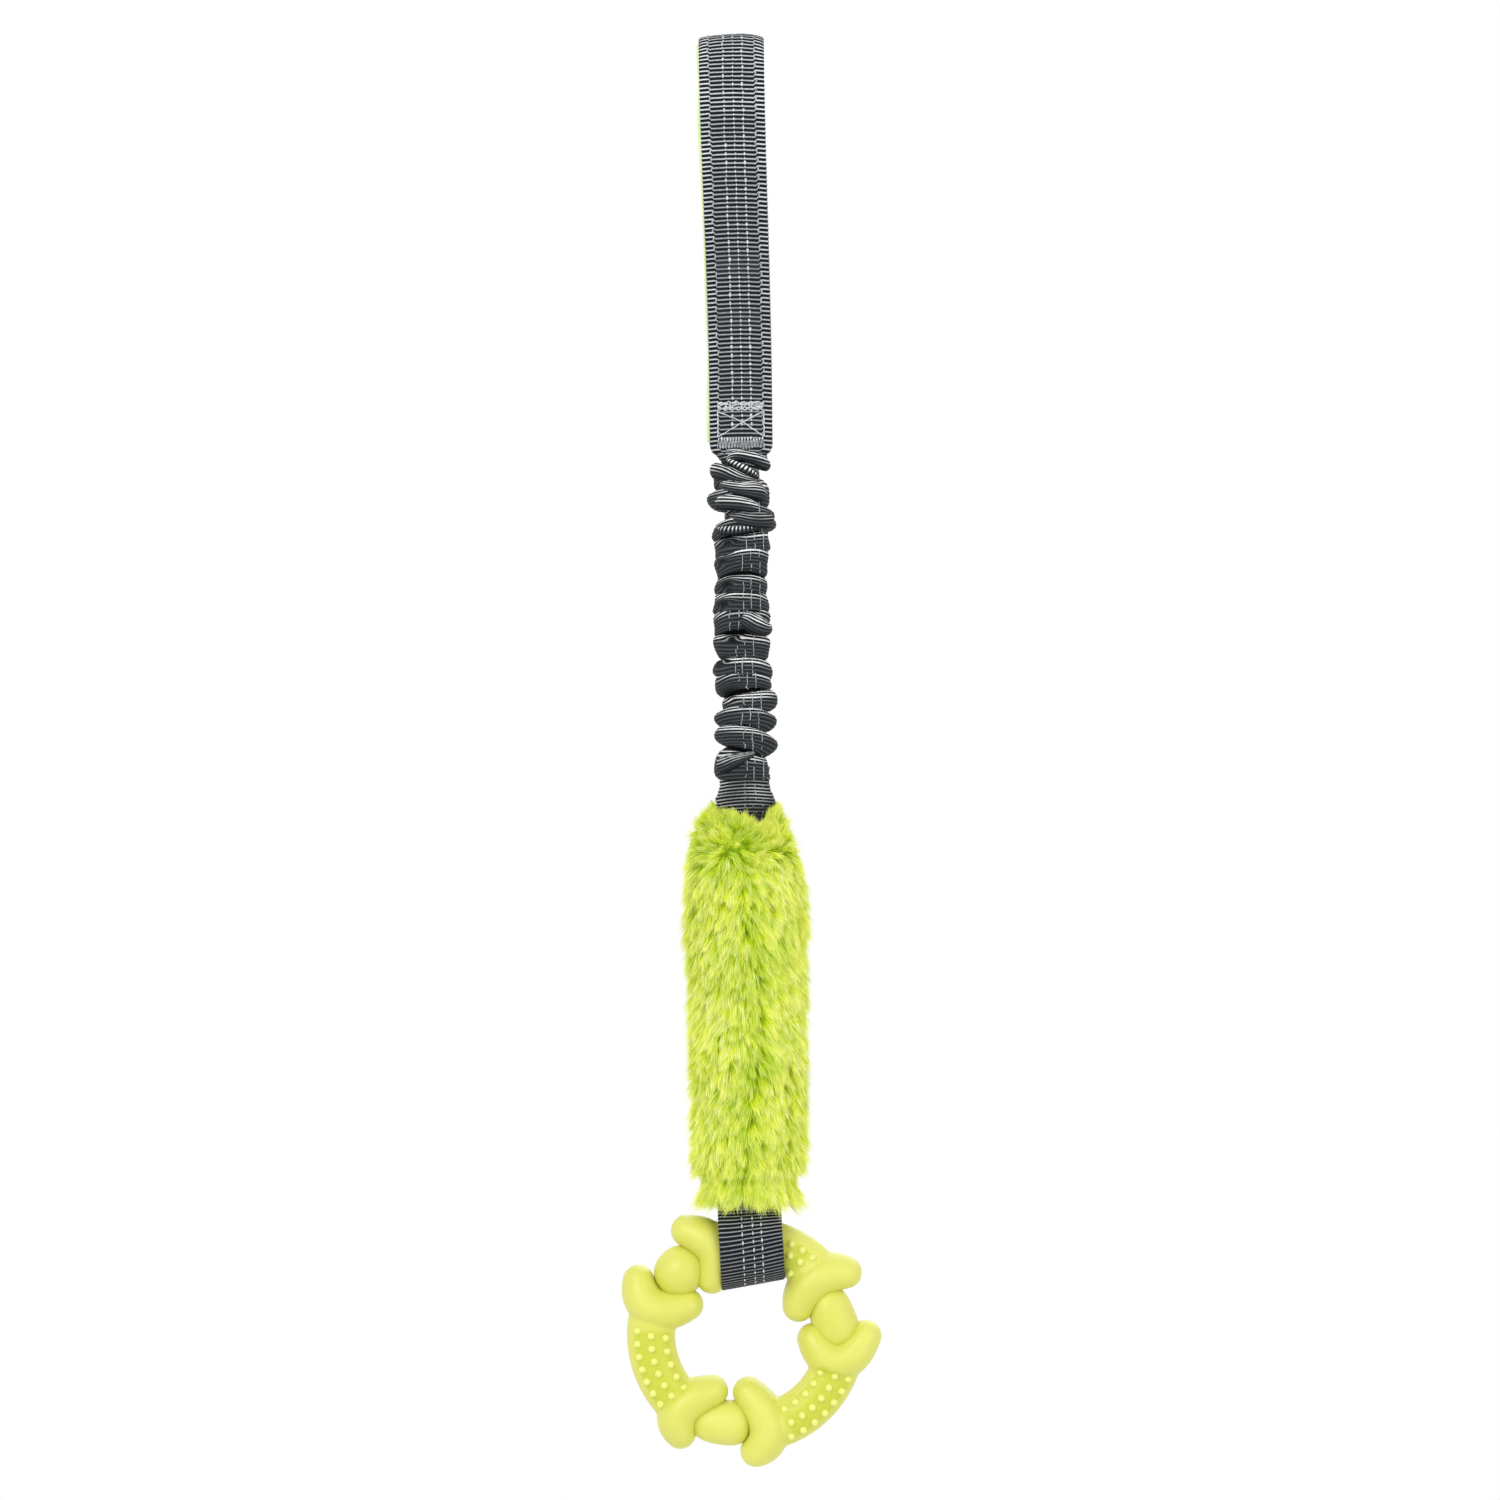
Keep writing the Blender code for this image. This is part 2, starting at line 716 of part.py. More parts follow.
def bone_shaft(index):
    """The round shaft of one bone, an arc of the ring with closed ends."""
    curve = bpy.data.curves.new("tug_ring", "CURVE")
    curve.dimensions = "3D"
    curve.bevel_depth = shaft_radius
    curve.bevel_resolution = 4
    curve.use_fill_caps = True
    start, end = bone_ends(index)
    spline = curve.splines.new("POLY")
    spline.points.add(bone_steps)
    for step, point in enumerate(spline.points):
        point.co = (*polar(ring_radius, start + (end - start) * step / bone_steps), 1)
    return mesh_from_curve(curve)


def link_shape(link):
    """An egg between two bones, a little narrower towards the bone before it."""
    shape = bmesh.new()
    bmesh.ops.create_uvsphere(shape, u_segments=16, v_segments=12, radius=1)
    out = polar(1, link)
    along = Vector((-out.z, 0, out.x))
    middle = polar(ring_radius - link_inset, link)
    for vertex in shape.verts:
        radius = link_radius * (1 + link_taper_share * vertex.co.z)
        flat = out * vertex.co.x * radius + Vector((0, vertex.co.y * radius, 0))
        vertex.co = middle + flat + along * vertex.co.z * link_half_length
    bmesh.ops.recalc_face_normals(shape, faces=shape.faces)
    mesh = bpy.data.meshes.new("link")
    shape.to_mesh(mesh)
    shape.free()
    return mesh


def knuckle_path(share, link, side):
    """The bent middle line of a bone's end, from its inner lobe at -1 to its outer lobe at 1."""
    inner = polar(ring_radius - knuckle_inner_drop, link + side * knuckle_inner_angle)
    body = polar(ring_radius, link + side * knuckle_body_angle)
    outer = polar(ring_radius + knuckle_outer_rise, link + side * knuckle_outer_angle)
    return inner * share * (share - 1) / 2 + body * (1 - share**2) + outer * share * (share + 1) / 2


def square_turn(angle):
    """A point at an angle on a unit circle that is drawn out towards its square."""
    turn_x = math.copysign(abs(math.cos(angle)) ** (2 / knuckle_squareness), math.cos(angle))
    turn_y = math.copysign(abs(math.sin(angle)) ** (2 / knuckle_squareness), math.sin(angle))
    return turn_x, turn_y


def knuckle_shape(link, side):
    """One end of a bone: a full, rounded crescent whose hollow side holds the link."""
    shape = bmesh.new()
    bmesh.ops.create_uvsphere(shape, u_segments=16, v_segments=12, radius=1)
    for vertex in shape.verts:
        share = vertex.co.z
        ahead = knuckle_path(share + knuckle_step_share, link, side)
        behind = knuckle_path(share - knuckle_step_share, link, side)
        along = (ahead - behind).normalized()
        across = Vector((along.z, 0, -along.x))
        fullness = math.sqrt(max(0, 1 - share**4))
        turn_x, turn_y = square_turn(math.atan2(vertex.co.y, vertex.co.x))
        thick = knuckle_half_thick * fullness
        depth = knuckle_half_depth * (1 - knuckle_lobe_taper_share * share**2) * fullness
        vertex.co = knuckle_path(share, link, side) + across * turn_x * thick + Vector((0, turn_y * depth, 0))
    bmesh.ops.recalc_face_normals(shape, faces=shape.faces)
    mesh = bpy.data.meshes.new("knuckle")
    shape.to_mesh(mesh)
    shape.free()
    return mesh


def nub_places():
    """Where the nubs stand and which way they point, in three rows on the front and the back of each bone."""
    for index in range(len(link_angles)):
        middle = sum(bone_ends(index)) / 2 + nub_turn
        for row, number in zip((-1, 0, 1), nub_counts):
            offset = row * nub_row_offset + nub_row_shift
            reach = ring_radius + offset
            lean = math.asin(offset / shaft_radius)
            for place in range(number):
                angle = middle + (place - (number - 1) / 2) * nub_pitch / reach
                for face in (-1, 1):
                    out = polar(1, angle) * math.sin(lean) + Vector((0, face * math.cos(lean), 0))
                    yield polar(ring_radius, angle) + out * shaft_radius, out


def nub_shapes():
    """All nubs as short blunt cones sunk a little into the tube."""
    shape = bmesh.new()
    depth = nub_height * 2
    for place, out in nub_places():
        turn = out.to_track_quat("Z", "Y").to_matrix().to_4x4()
        matrix = Matrix.Translation(place) @ turn
        bmesh.ops.create_cone(
            shape,
            cap_ends=True,
            segments=nub_sides,
            radius1=nub_radius,
            radius2=nub_tip_radius,
            depth=depth,
            matrix=matrix,
        )
    mesh = bpy.data.meshes.new("nubs")
    shape.to_mesh(mesh)
    shape.free()
    return mesh


def make_ring():
    side = -ring_side_shift
    ring = add_piece("tug_ring", bone_shaft(0), rubber, ring_axis, ring_centre_z, side=side)
    others = [loose_shape("bone", bone_shaft(index)) for index in range(1, len(link_angles))]
    for link in link_angles:
        others.append(loose_shape("link", link_shape(link)))
        for way in (-1, 1):
            others.append(loose_shape("knuckle", knuckle_shape(link, way)))
    others.append(loose_shape("nubs", nub_shapes()))
    for other in others:
        other.location = (side, 0, ring_centre_z)
    join_shapes(ring, others)
    smooth_mesh(ring.data)


clear_scene()
front_turn = Matrix.Rotation(math.pi / 2, 4, "X")
toy = new_collection("bungee_tug_toy")
shapes = new_collection("cutters")

webbing = new_material("webbing", (0.16, 0.17, 0.18), 0.85)
dark_webbing = new_material("dark_webbing", (0.06, 0.065, 0.075), 0.85)
grey_thread = new_material("grey_thread", (0.55, 0.56, 0.58), 0.7)
lime_lining = new_material("lime_lining", (0.62, 0.85, 0.22), 0.9)
elastic = new_material("elastic", (0.08, 0.08, 0.08), 0.6)
plush = new_material("plush", (0.56, 0.78, 0.10), 0.9)
fibre = new_material("fibre", (0.9, 0.9, 0.88), 0.95)
lime_thread = new_material("lime_thread", (0.5, 0.72, 0.12), 0.7)
rubber = new_material("rubber", (0.72, 0.76, 0.08), 0.4)

handle_axis = new_axis("handle_grip", None, 0)
flex_axis = new_axis("handle_flex_axis", handle_axis, handle_flex_z)
stretch_axis = new_axis("bungee_stretch_axis", flex_axis, band_top_z)
fur_axis = new_axis("fur_flex_axis", stretch_axis, fur_flex_z)
loop_axis = new_axis("loop_flex_axis", fur_axis, loop_flex_z)
ring_axis = new_axis("ring_swing_axis", loop_axis, ring_axis_z)

make_handle()
make_base_stitches()
make_bungee_top()
make_sleeve()
make_cords()
make_bungee_bottom()
make_fur_cover()
make_fur_seam()
make_stuffing()
make_core()
make_fur_threads()
make_ring_loop()
make_ring()
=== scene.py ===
import math

import bpy
import numpy as np
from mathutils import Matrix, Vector


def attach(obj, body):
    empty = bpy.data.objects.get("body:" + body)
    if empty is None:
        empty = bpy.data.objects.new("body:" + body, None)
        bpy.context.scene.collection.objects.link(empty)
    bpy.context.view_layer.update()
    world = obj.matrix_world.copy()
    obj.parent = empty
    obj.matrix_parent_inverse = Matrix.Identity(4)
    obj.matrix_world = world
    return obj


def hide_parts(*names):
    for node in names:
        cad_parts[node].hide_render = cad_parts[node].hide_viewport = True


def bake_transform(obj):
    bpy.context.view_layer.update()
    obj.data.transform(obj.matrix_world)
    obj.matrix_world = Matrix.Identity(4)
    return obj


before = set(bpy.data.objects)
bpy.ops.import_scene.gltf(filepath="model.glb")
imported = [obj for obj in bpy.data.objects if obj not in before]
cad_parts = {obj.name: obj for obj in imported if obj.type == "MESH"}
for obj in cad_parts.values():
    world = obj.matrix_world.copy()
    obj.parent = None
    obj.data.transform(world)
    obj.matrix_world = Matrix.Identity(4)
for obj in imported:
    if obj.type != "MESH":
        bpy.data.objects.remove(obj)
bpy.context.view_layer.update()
print("frame loaded,", len(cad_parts), "nodes")

# The photo's own frame: the toy hangs a little turned, with its foot to the right
photo = {
    "size": 0.5685,
    "middle": (0.0021, -0.2672),
    "roll": 0.625,
    "lens": 120,
    "sensor": 36,
}

# Soft even studio light over a pale round floor that fades out at its rim
studio = {
    "floorHeight": -0.655,
    "floorRadius": 0.44,
    "floorFade": 0.16,
    "floorShade": 0.86,
    "skyLevel": 0.78,
    "aim": (0, 0, -0.27),
    # each lamp's place, power and size
    "lamps": {
        "keyLamp": ((-0.9, -1.5, 0.6), 15.0, 1.3),
        "fillLamp": ((1.3, -1.2, -0.1), 6.5, 1.5),
        "backLamp": ((0.4, 1.4, 0.5), 7.0, 1.3),
    },
}


# Small helpers for arrays

def placed(x, y, z):
    # three coordinates whose shapes fit together, as points
    return np.stack(np.broadcast_arrays(x, y, z), -1)


def unit(vectors):
    return vectors / np.maximum(np.linalg.norm(vectors, axis=-1), 1e-12)[..., None]


def lengthAlong(points):
    return np.append(0, np.cumsum(np.linalg.norm(np.diff(points, axis=0), axis=1)))


def readAlong(where, length, rows):
    # every column of some rows, read off at new places along their length
    return np.stack([np.interp(where, length, column) for column in rows.T], -1)


def squared(value, power):
    # a cosine or sine made fuller, for a section between round and square
    return np.sign(value) * np.abs(value) ** power


def bell(value, reach):
    return np.exp(-((value / reach) ** 2))


def smoothStep(value, low, high):
    share = np.clip((value - low) / (high - low), 0, 1)
    return share * share * (3 - 2 * share)


def ripple(seed, waves, *coordinates):
    # a smooth, seeded unevenness between about -1 and 1 over any number of coordinates
    draw = np.random.default_rng(seed)
    total = 0
    for _ in range(waves):
        phase = draw.uniform(0, 2 * math.pi)
        for coordinate in coordinates:
            phase = phase + coordinate * draw.normal()
        total = total + np.sin(phase)
    return total / math.sqrt(waves)


def ribShape(phase):
    wave = 1 - np.abs(2 * (phase % 1) - 1)
    return smoothStep(wave, 0.1, 0.6)


# Small helpers for pieces

def deselectAll():
    if bpy.context.object and bpy.context.object.mode != "OBJECT":
        bpy.ops.object.mode_set(mode="OBJECT")
    bpy.ops.object.select_all(action="DESELECT")


def activate(piece):
    deselectAll()
    piece.select_set(True)
    bpy.context.view_layer.objects.active = piece


def addModifier(piece, kind, **settings):
    activate(piece)
    bpy.ops.object.modifier_add(type=kind)
    for key, value in settings.items():
        setattr(piece.modifiers[-1], key, value)


def applyModifiers(piece):
    activate(piece)
    for name in [modifier.name for modifier in piece.modifiers]:
        bpy.ops.object.modifier_apply(modifier=name)
    bpy.ops.object.shade_smooth()


def joinInto(piece, others):
    activate(piece)
    for other in others:
        other.select_set(True)
    bpy.ops.object.join()


def settle(piece):
    # the place goes into the mesh, and the object stays at the origin
    activate(piece)
    bpy.ops.object.transform_apply(location=True, rotation=True, scale=True)


def closeUp(piece):
    # seams merged, open ends filled, faces turned outwards and shaded smooth
    activate(piece)
    bpy.ops.object.mode_set(mode="EDIT")
    bpy.ops.mesh.select_all(action="SELECT")
    bpy.ops.mesh.remove_doubles(threshold=0.000001)
    bpy.ops.mesh.fill_holes(sides=0)
    bpy.ops.mesh.normals_make_consistent(inside=False)
    bpy.ops.object.mode_set(mode="OBJECT")
    bpy.ops.object.shade_smooth()


def readVertices(piece, what="co"):
    values = np.empty(len(piece.data.vertices) * 3)
    piece.data.vertices.foreach_get(what, values)
    return values.reshape(-1, 3)


def addTone(piece, values):
    tone = piece.data.attributes.new("tone", "FLOAT", "POINT")
    tone.data.foreach_set("value", np.asarray(values, np.float32).ravel())


def laidGrid(name, points, across, along, tone=None):
    # a closed band: a grid primitive laid over rows and columns of points, with its own map of real lengths
    # across and of ribs along
    rows, columns = points.shape[:2]
    deselectAll()
    bpy.ops.mesh.primitive_grid_add(x_subdivisions=columns - 1, y_subdivisions=rows - 1, size=2, calc_uvs=True)
    piece = bpy.context.object
    piece.name = name
    mesh = piece.data
    places = readVertices(piece)
    column = np.rint((places[:, 0] + 1) / 2 * (columns - 1)).astype(int)
    row = np.rint((places[:, 1] + 1) / 2 * (rows - 1)).astype(int)
    mesh.vertices.foreach_set("co", points[row, column].ravel())
    corners = np.empty(len(mesh.loops), int)
    mesh.loops.foreach_get("vertex_index", corners)
    laid = placed(across, along, 0 * points[..., 0])[row, column, :2]
    mesh.uv_layers[0].data.foreach_set("uv", laid[corners].ravel())
    mesh.update()
    if tone is not None:
        addTone(piece, tone)
    closeUp(piece)
    return piece


def meshFrom(name, points, corners, sizes):
    mesh = bpy.data.meshes.new(name)
    mesh.vertices.add(len(points))
    mesh.vertices.foreach_set("co", points.astype(np.float32).ravel())
    mesh.loops.add(len(corners))
    mesh.loops.foreach_set("vertex_index", corners.astype(np.int32))
    mesh.polygons.add(len(sizes))
    starts = np.append(0, np.cumsum(sizes)[:-1])
    mesh.polygons.foreach_set("loop_start", starts.astype(np.int32))
    mesh.update(calc_edges=True)
    mesh.shade_smooth()
    piece = bpy.data.objects.new(name, mesh)
    bpy.context.scene.collection.objects.link(piece)
    return piece


def addBall(segments, rings, place=(0, 0, 0)):
    deselectAll()
    bpy.ops.mesh.primitive_uv_sphere_add(segments=segments, ring_count=rings, radius=1, location=place)
    return bpy.context.object


def scatteredBeads(name, places, axes, segments=8, rings=6):
    # one small ball, modelled once and set down at every place, drawn out along three axes there
    ball = addBall(segments, rings)
    points = readVertices(ball)
    faces = [tuple(face.vertices) for face in ball.data.polygons]
    bpy.data.objects.remove(ball)
    moved = places[:, None, :] + np.einsum("pj,njk->npk", points, axes)
    shift = np.arange(len(places))[:, None] * len(points)
    corners = (np.concatenate(faces)[None] + shift).ravel()
    return meshFrom(name, moved.reshape(-1, 3), corners, np.tile([len(face) for face in faces], len(places)))


def sized(directions, sizes):
    # three directions as axes of the given lengths, which may differ from place to place
    return np.stack([way * np.reshape(size, (-1, 1)) for way, size in zip(directions, sizes)], 1)


def threadCurve(name, paths, radius, steps=2):
    # threads sewn along open paths, as one mesh of round strands with closed ends
    curve = bpy.data.curves.new(name, "CURVE")
    curve.dimensions = "3D"
    curve.bevel_depth = radius
    curve.bevel_resolution = steps
    curve.use_fill_caps = True
    for path in paths:
        spline = curve.splines.new("POLY")
        spline.points.add(len(path) - 1)
        for point, place in zip(spline.points, path):
            point.co = (*place, 1)
    holder = bpy.data.objects.new(name, curve)
    bpy.context.scene.collection.objects.link(holder)
    activate(holder)
    bpy.ops.object.convert(target="MESH")
    piece = bpy.context.object
    closeUp(piece)
    return piece


def onLine(line, where):
    length, places, outs = line
    return readAlong(where, length, places), unit(readAlong(where, length, outs))


def onFace(line, where, across, lift, pivot=0.0):
    # points over a strap's side view, so far across it and so far out from its line
    place, out = onLine(line, where)
    return placed(across, place[..., 0] + out[..., 0] * lift, pivot + place[..., 1] + out[..., 1] * lift)


def faceAxes(line, where):
    # the three directions on a strap's face: across, along and out
    out = onLine(line, where)[1]
    outward = placed(0, out[:, 0], out[:, 1])
    sideways = placed(1, 0 * where, 0)
    return sideways, np.cross(outward, sideways), outward


def bandSection(form):
    # a strap's closed section: places across it, how far up its thickness each lies and how much its ribs show there
    half = form["halfWidth"]
    edge = half - form["hem"]
    face, back = np.ones(form["columns"]), np.zeros(8)
    lip = half + form["lip"]
    over, under = np.linspace(-edge, edge, len(face)), np.linspace(edge, -edge, len(back))
    across = [[-lip, -half], over, [half, lip], under, [-lip]]
    rise = [[0.3, 0.8], face, [0.8, 0.3], back, [0.3]]
    shown = [[0.4, 0.9], face, [0.9, 0.4], back, [0.4]]
    return [np.concatenate(part) for part in (across, rise, shown)]


def edgeSpread(across, form, rib):
    # the ribs show as small steps in the strap's edges
    return np.where(np.abs(across) >= form["halfWidth"], np.sign(across) * form["edgeRib"] * rib, 0)


def finish(piece, material, body=None, blend=None, replaced=()):
    piece.data.materials.clear()
    piece.data.materials.append(materials[material])
    if body:
        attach(piece, body)
    if blend:
        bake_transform(piece)
    if replaced:
        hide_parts(*replaced)
    print(piece.name, len(piece.data.polygons), "faces")


# Materials

def linear(red, green, blue):
    # a colour as it shows on screen, turned into light
    shares = [part / 255 for part in (red, green, blue)]
    return (*[share / 12.92 if share <= 0.04045 else ((share + 0.055) / 1.055) ** 2.4 for share in shares], 1)


def plug(socket, value):
    if isinstance(value, bpy.types.NodeSocket):
        socket.id_data.links.new(value, socket)
    else:
        socket.default_value = value


def plugAll(node, inputs):
    for key, value in inputs.items():
        plug(node.inputs[key], value)


def addNode(tree, kind, inputs, output=0, **settings):
    # one node with its settings and inputs, and the output that is wanted of it
    node = tree.nodes.new("ShaderNode" + kind)
    for key, value in settings.items():
        setattr(node, key, value)
    plugAll(node, inputs)
    return node.outputs[output]


def startMaterial(name, roughness):
    made = bpy.data.materials.new(name)
    made.use_nodes = True
    shader = made.node_tree.nodes["Principled BSDF"]
    plug(shader.inputs["Roughness"], roughness)
    return made, made.node_tree, shader


def calc(operation, first, second=0.0, clamp=False):
    tree = (first if isinstance(first, bpy.types.NodeSocket) else second).id_data
    return addNode(tree, "Math", {0: first, 1: second}, operation=operation, use_clamp=clamp)


def times(first, second, clamp=False):
    return calc("MULTIPLY", first, second, clamp)


def plus(first, second):
    return calc("ADD", first, second)


def minus(first, second):
    return calc("SUBTRACT", first, second)


def span(value, low, high, start=0.0, end=1.0):
    inputs = {"Value": value, "From Min": low, "From Max": high, "To Min": start, "To Max": end}
    return addNode(value.id_data, "MapRange", inputs, "Result", interpolation_type="SMOOTHSTEP")


def mixColours(share, first, second):
    return addNode(share.id_data, "Mix", {"Factor": share, "A": first, "B": second}, "Result", data_type="RGBA")


def noiseOf(vector, scale, detail=2.0):
    # a scale of three values stretches the noise
    if isinstance(scale, tuple):
        vector = addNode(vector.id_data, "Mapping", {"Scale": scale, "Vector": vector}, "Vector")
        scale = 1.0
    return addNode(vector.id_data, "TexNoise", {"Scale": scale, "Detail": detail, "Vector": vector}, "Fac")


def objectPlace(tree):
    return addNode(tree, "TexCoord", {}, "Object")


def mapPlace(tree):
    laid = addNode(tree, "TexCoord", {}, "UV")
    return laid, *[addNode(tree, "SeparateXYZ", {0: laid}, axis) for axis in "XY"]


def toneOf(tree):
    return addNode(tree, "Attribute", {}, "Fac", attribute_name="tone")


def bumpFrom(shader, height, strength, distance):
    inputs = {"Strength": strength, "Distance": distance, "Height": height}
    plug(shader.inputs["Normal"], addNode(height.id_data, "Bump", inputs, "Normal"))


def ribbedWebbing(name, slot, body, crest, slotShare, contrast, lineStart, lineGrow, lineLow=0.0):
    # ribs run across the band: dark slots of painted shade, a ribbed body and a painted highlight along each crest.
    # Tone, light and shade painted onto the band, sets how light and broad that highlight is and how clear the slots
    # are, and near nothing it darkens all to painted shade.
    made, tree, shader = startMaterial(name, 0.82)
    place, across, ribs = mapPlace(tree)
    warp = noiseOf(place, (0.35, 0.9, 1))
    phase = calc("FRACT", plus(ribs, times(warp, 0.12)))
    wave = minus(1.0, calc("ABSOLUTE", minus(times(phase, 2.0), 1.0)))
    tone = toneOf(tree)
    # painted shade in the slots between the ribs, clearer as tone rises
    gap = minus(1.0, span(wave, slotShare - 0.12, slotShare + 0.12))
    gap = times(gap, span(tone, 0.08, 0.45, 0.4, 1.0))
    # painted highlight along each crest, broader and stronger as tone rises
    start = minus(lineStart, times(tone, lineGrow))
    line = span(wave, start, plus(start, 0.18))
    patches = noiseOf(place, (0.16, 0.21, 1), 3.0)
    lift = plus(1.0, times(minus(patches, 0.5), contrast))
    strength = times(span(tone, lineLow, 1.0, 0.05, 1.0), lift, True)
    colour = mixColours(gap, mixColours(times(line, strength), body, crest), slot)
    yarn = calc("SINE", times(across, 2 * math.pi / 0.42))
    flecks = noiseOf(place, (3.2, 1.3, 1), 3.0)
    grain = plus(times(yarn, 0.1), span(flecks, 0.25, 0.75, 0.74, 1.26))
    # painted shade: a tone near nothing darkens the whole colour
    shade = times(grain, span(tone, 0.0, 0.18, 0.1, 1.0))
    shaded = addNode(tree, "HueSaturation", {"Value": shade, "Color": colour}, "Color")
    plugAll(shader, {"Base Color": shaded, "Sheen Weight": 0.03, "Specular IOR Level": 0.18})
    bumpFrom(shader, minus(times(yarn, 0.12), gap), 0.6, 0.00025)
    return made


def hiddenWebbing(name, colour, light):
    # plain ribbed band of the inner pieces, on their own coordinates
    made, tree, shader = startMaterial(name, 0.85)
    place = objectPlace(tree)
    height = addNode(tree, "SeparateXYZ", {0: place}, "Z")
    share = span(calc("SINE", times(height, 2 * math.pi / 0.0015)), -0.4, 0.9)
    flecks = times(noiseOf(place, 900.0, 3.0), 0.35)
    plug(shader.inputs["Base Color"], mixColours(flecks, mixColours(share, colour, light), (0.02, 0.02, 0.02, 1)))
    bumpFrom(shader, share, 0.5, 0.0002)
    return made


def grained(name, roughness, low, high, fine, bump, fineSpan=None, patches=None, patchSpan=None, sheen=0.0):
    # two colours mixed by a fine noise, which also raises the surface; patches may weaken the second colour
    made, tree, shader = startMaterial(name, roughness)
    place = objectPlace(tree)
    grain = share = noiseOf(place, *fine)
    if patches:
        share = times(span(grain, 0.3, 0.7, *fineSpan), span(noiseOf(place, *patches), *patchSpan))
    plugAll(shader, {"Base Color": mixColours(share, low, high), "Sheen Weight": sheen})
    bumpFrom(shader, grain, *bump)
    return made


def twistedThread(name, colour, shadow):
    return grained(
        name, 0.5, shadow, colour, (1800.0, 3.0), (0.35, 0.00012), (0.0, 1.0), (220.0, 2.0), (0.3, 0.6, 0.55, 1.0), 0.2
    )


def pileMaterial(name):
    # the map gives each strand a number of its own and how far along it lies, and tone marks darker tufts, random
    # patches with painted shade along the parting;
    # tinted sheen and a trace of its own light, a painted glow, stand for the light that passes through the thin
    # strands
    made, tree, shader = startMaterial(name, 0.6)
    _, strand, along = mapPlace(tree)
    # darker and greener towards the roots: partly the pile's own colour, partly painted shade deep in the pile
    low = mixColours(span(along, 0.0, 0.55), linear(140, 182, 2), linear(222, 237, 34))
    colour = mixColours(span(along, 0.55, 1.0), low, linear(255, 254, 150))
    # darker tufts: random patches, and painted shade along the parting, mostly near the roots
    deep = times(span(toneOf(tree), 0.1, 0.8), span(strand, 0.2, 0.8, 1.0, 0.3))
    deep = times(deep, span(along, 0.4, 1.0, 1.0, 0.45))
    colour = mixColours(deep, colour, linear(158, 198, 4))
    # painted highlight: near-white tips on some strands
    tipHighlight = times(span(strand, 0.55, 0.95), span(along, 0.15, 0.7, 0.1, 0.9))
    plugAll(shader, {
        "Base Color": mixColours(tipHighlight, colour, linear(255, 253, 214)),
        "Sheen Weight": 0.16,
        "Sheen Tint": (1.0, 1.0, 0.4, 1),
        "Emission Color": linear(216, 230, 0),
        "Emission Strength": 0.09,
        "Specular IOR Level": 0.2,
    })
    return made


def rubberMaterial(name):
    # soft matte moulding, with painted shade where tone says that the surface is sunk round the nubs and a painted
    # highlight on the nubs
    made, tree, shader = startMaterial(name, 0.4)
    place = objectPlace(tree)
    clouds = noiseOf(place, 60.0, 3.0)
    tone = toneOf(tree)
    base = mixColours(span(clouds, 0.3, 0.7), linear(218, 219, 94), linear(225, 225, 106))
    # painted shade in the sunk fields round the nubs
    sunkAndShaded = mixColours(span(tone, 0.0, 1.0), base, linear(205, 211, 60))
    plugAll(shader, {
        # painted highlight on the nubs, whose tone is -1
        "Base Color": mixColours(span(tone, 0.0, -1.0), sunkAndShaded, linear(236, 240, 124)),
        "Roughness": span(clouds, 0.3, 0.7, 0.36, 0.48),
        "Specular IOR Level": 0.55,
        "Subsurface Weight": 0.1,
        "Subsurface Radius": (0.004, 0.004, 0.001),
        "Subsurface Scale": 1.0,
    })
    bumpFrom(shader, noiseOf(place, 2600.0, 2.0), 0.08, 0.0001)
    return made


materials = {
    "handleWebbing": ribbedWebbing(
        "handleWebbing", linear(17, 21, 25), linear(88, 95, 101), linear(224, 227, 229), 0.52, 0.7, 0.78, 0.2
    ),
    "sleeveWebbing": ribbedWebbing(
        "sleeveWebbing", linear(5, 6, 7), linear(42, 47, 51), linear(248, 250, 249), 0.28, 0.5, 0.72, 0.3, 0.16
    ),
    "tabWebbing": ribbedWebbing(
        "tabWebbing", linear(9, 10, 13), linear(38, 41, 47), linear(206, 211, 215), 0.32, 0.6, 0.78, 0.24
    ),
    "innerWebbing": hiddenWebbing("innerWebbing", linear(52, 56, 60), linear(112, 116, 120)),
    "lightThread": twistedThread("lightThread", linear(240, 243, 245), linear(168, 173, 178)),
    "greyThread": twistedThread("greyThread", linear(208, 213, 216), linear(120, 125, 130)),
    "limeThread": twistedThread("limeThread", linear(206, 230, 80), linear(140, 180, 24)),
    "lining": grained(
        "limeLining", 0.9, linear(206, 232, 140), linear(234, 248, 196), (1500.0, 2.0), (0.5, 0.0003),
        (0.5, 1.0), (120.0, 3.0), (0.3, 0.7, 0.7, 1.0), 0.2
    ),
    "pile": pileMaterial("limePile"),
    "backing": grained(
        "pileBacking", 0.9, linear(176, 214, 20), linear(206, 232, 44), (1400.0, 2.0), (0.4, 0.0003)
    ),
    "rubber": rubberMaterial("limeRubber"),
    "elastic": grained(
        "blackElastic", 0.6, linear(38, 38, 40), linear(78, 78, 80), ((900, 900, 300), 2.0), (0.5, 0.0003)
    ),
    "fibre": grained(
        "whiteFibre", 0.95, linear(214, 214, 208), linear(250, 250, 246), (260.0, 5.0), (0.8, 0.001)
    ),
}
print(len(materials), "materials ready")


# Camera and studio

def makeCamera():
    bpy.ops.object.camera_add()
    camera = bpy.context.object
    camera.name = "photoCamera"
    camera.data.lens = photo["lens"]
    camera.data.sensor_width = photo["sensor"]
    distance = photo["size"] / photo["sensor"] * photo["lens"]
    camera.location = (photo["middle"][0], -distance, photo["middle"][1])
    camera.rotation_euler = (math.radians(90), math.radians(photo["roll"]), 0)
    camera.data.clip_start = 0.05
    camera.data.clip_end = 30
    bpy.context.scene.camera = camera
    print("camera", round(distance, 3), "m away")


